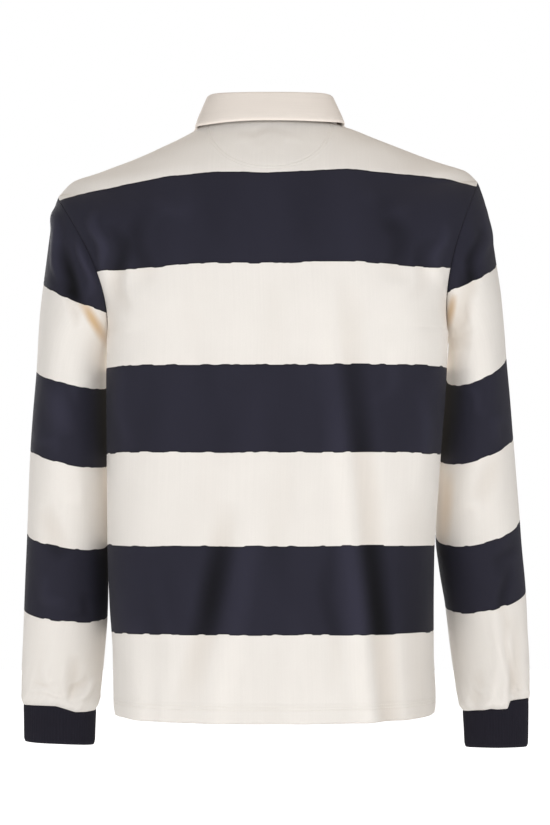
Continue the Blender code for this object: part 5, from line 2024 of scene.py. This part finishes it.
class SHIRT_OT_stage(bpy.types.Operator):
    """Makes the pale studio: floor, soft lights and the camera at the photograph's place"""

    bl_idname = "shirt.stage"
    bl_label = "Studio"

    def execute(self, context):
        stage = context.scene.shirt_stage
        context.scene.view_settings.view_transform = "Standard"
        self.world(stage)
        self.floor(stage)
        for name, place, size, colour in LIGHTS:
            self.area(f"{name}_light", place, size, getattr(stage, name), colour)
        camera = bpy.data.cameras.new("camera")
        camera.lens = stage.lens
        camera.sensor_width = 36.0
        camera.clip_start = 0.05
        camera.clip_end = 60.0
        item = add_object("camera", camera)
        item.location = CAMERA_PLACE
        item.rotation_euler = (math.radians(CAMERA_TILT), 0.0, 0.0)
        context.scene.camera = item
        return {"FINISHED"}

    def area(self, name, place, size, power, colour):
        """One soft square light that faces the middle of the shirt."""
        light = bpy.data.lights.new(name, "AREA")
        light.size = size
        light.energy = power
        light.color = colour
        item = add_object(name, light)
        item.location = place
        way = np.array(SHIRT_MIDDLE) - np.array(place)
        turn = math.atan2(way[0], -way[1])
        tilt = math.atan2(math.hypot(way[0], way[1]), -way[2])
        item.rotation_euler = (tilt, 0.0, turn + math.pi)

    def world(self, stage):
        """A white surround that lights the shirt softly."""
        world = bpy.data.worlds.new("studio")
        bpy.context.scene.world = world
        world.use_nodes = True
        tree = world.node_tree
        tree.nodes.clear()
        seen = add_node(tree, "ShaderNodeBackground", {0: (1.0, 1.0, 1.0, 1.0), 1: 1.0})
        lit = add_node(tree, "ShaderNodeBackground", {0: SURROUND_COLOUR, 1: stage.surround})
        ray = add_node(tree, "ShaderNodeLightPath").outputs["Is Camera Ray"]
        both = add_node(tree, "ShaderNodeMixShader", {0: ray, 1: lit.outputs[0], 2: seen.outputs[0]})
        add_node(tree, "ShaderNodeOutputWorld", {0: both.outputs[0]})

    def floor(self, stage):
        """A wide pale floor that fades into the surround."""
        height = SHIRT_LOW - stage.floor_drop
        ways = ((-1, -1), (1, -1), (1, 1), (-1, 1))
        corners = [(x * FLOOR_REACH, y * FLOOR_REACH, height) for x, y in ways]
        mesh = bpy.data.meshes.new("studio_floor")
        mesh.from_pydata(corners, [], [(0, 1, 2, 3)])
        item = add_object("studio_floor", mesh)
        material = bpy.data.materials.new("pale_floor")
        material.use_nodes = True
        tree = material.node_tree
        shader = tree.nodes["Principled BSDF"].inputs
        shader["Base Color"].default_value = (0.9, 0.9, 0.89, 1.0)
        shader["Roughness"].default_value = 0.9
        shader["Emission Color"].default_value = (1.0, 1.0, 1.0, 1.0)
        seen = Value(add_node(tree, "ShaderNodeLightPath").outputs["Is Camera Ray"])
        (seen * (1.0 - stage.floor_glow) + stage.floor_glow).to(shader["Emission Strength"])
        mesh.materials.append(material)


def colour_setting(name, description, default):
    """A colour that a user may change."""
    return bpy.props.FloatVectorProperty(
        name=name, description=description, default=default, subtype="COLOR", size=3, min=0.0, max=1.0
    )


def length_setting(name, description, default):
    """A length that a user may change, in metres."""
    return bpy.props.FloatProperty(
        name=name, description=description, default=default, unit="LENGTH", min=0.0, precision=5
    )


def number_setting(name, description, default, low=0.0, high=1000.0):
    """A plain number that a user may change."""
    return bpy.props.FloatProperty(name=name, description=description, default=default, min=low, max=high)


class ShirtCloth(bpy.types.PropertyGroup):
    """Colours and knit of the shirt's cloth"""

    cream: colour_setting("Cream", "Ground colour of the jersey", (0.81, 0.775, 0.735))
    navy: colour_setting("Navy", "Colour of the jersey's bands", (0.0200, 0.0194, 0.0318))
    navy_rib: colour_setting("Navy Rib", "Colour of the cuffs", (0.0118, 0.0108, 0.0180))
    twill: colour_setting("Twill", "Colour of the collar and the front opening", (0.775, 0.710, 0.652))
    thread: colour_setting("Thread", "Colour of the sewing thread", (0.82, 0.78, 0.72))
    button: colour_setting("Button", "Colour of the buttons", (0.78, 0.74, 0.66))
    # painted light: colour of the glow emitted beside the sleeves
    soak: colour_setting("Soaked Light", "Light that comes through cream cloth in a gap", (0.50, 0.45, 0.39))
    # painted shade: the darker, warm colour painted into hollows
    amber: colour_setting("Amber", "Colour of cream cloth in a deep hollow", (0.60, 0.42, 0.24))
    wale: length_setting("Wale", "Width of one upright line of loops in the jersey", 0.0012)
    twill_ridge: length_setting("Twill Ridge", "Space between the twill's slanting ridges", 0.0008)
    rib_pitch: length_setting("Rib Pitch", "Space between the ribs of the cuffs", 0.0026)
    band_wobble: length_setting("Band Wobble", "Unevenness of the bands' borders", 0.0008)
    crease_strength: number_setting("Creases", "How strong the fine creases are", 1.0, 0.0, 3.0)


class ShirtSewing(bpy.types.PropertyGroup):
    """Sizes of the stitches and ribs"""

    stitch_pitch: length_setting("Stitch Pitch", "Space from one stitch to the next", 0.0029)
    stitch_share: number_setting("Stitch Share", "Length of a stitch as a share of its pitch", 0.84, 0.1, 1.0)
    thread_radius: length_setting("Thread Radius", "Half of the thread's thickness", 0.00022)
    rib_depth: length_setting("Rib Depth", "Height of the cuffs' ribs", 0.00028)
    cuff_round: length_setting("Cuff Round", "Length of a cuff's edge all round", 0.198)


class ShirtStage(bpy.types.PropertyGroup):
    """Lights and camera of the studio"""

    key: number_setting("Key Light", "Power of the soft light beside the camera, in watts", 48.0)
    fill: number_setting("Fill Light", "Power of the light from the right, in watts", 45.0)
    front: number_setting("Front Light", "Power of the light on the buttoned side, in watts", 60.0)
    top: number_setting("Top Light", "Power of the light overhead, in watts", 15.0)
    surround: number_setting("Surround", "Brightness of the white surround as a light", 0.30, 0.0, 10.0)
    floor_glow: number_setting("Floor Glow", "Brightness of the floor as a light", 0.20, 0.0, 10.0)
    floor_drop: length_setting("Floor Drop", "Space between the cuffs and the floor", 0.35)
    lens: number_setting("Lens", "Focal length in millimetres", 109.1, 10.0, 500.0)


class SHIRT_PT_panel(bpy.types.Panel):
    """Lists the steps that make the shirt"""

    bl_label = "Rugby Polo Shirt"
    bl_idname = "SHIRT_PT_panel"
    bl_space_type = "VIEW_3D"
    bl_region_type = "UI"
    bl_category = "Shirt"

    def draw(self, context):
        layout = self.layout
        for step in STEPS:
            layout.operator(step.bl_idname)
        for name in SETTINGS:
            group = getattr(context.scene, name)
            box = layout.box()
            for key in group.bl_rna.properties.keys():
                if key not in ("rna_type", "name"):
                    box.prop(group, key)


STEPS = (
    SHIRT_OT_body,
    SHIRT_OT_sleeves,
    SHIRT_OT_cuffs,
    SHIRT_OT_collar,
    SHIRT_OT_neck_patch,
    SHIRT_OT_opening,
    SHIRT_OT_buttons,
    SHIRT_OT_stage,
)
SETTINGS = {"shirt_cloth": ShirtCloth, "shirt_sewing": ShirtSewing, "shirt_stage": ShirtStage}
CLASSES = (*SETTINGS.values(), *STEPS, SHIRT_PT_panel)


def register():
    """Adds the shirt's settings, operators and panel to Blender."""
    for item in CLASSES:
        bpy.utils.register_class(item)
    for name, group in SETTINGS.items():
        setattr(bpy.types.Scene, name, bpy.props.PointerProperty(type=group))


def unregister():
    """Takes them away again."""
    for name in SETTINGS:
        delattr(bpy.types.Scene, name)
    for item in reversed(CLASSES):
        bpy.utils.unregister_class(item)


def main():
    register()
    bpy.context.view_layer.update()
    for step in STEPS:
        group, operator = step.bl_idname.split(".")
        getattr(getattr(bpy.ops, group), operator)()


if __name__ == "__main__":
    main()
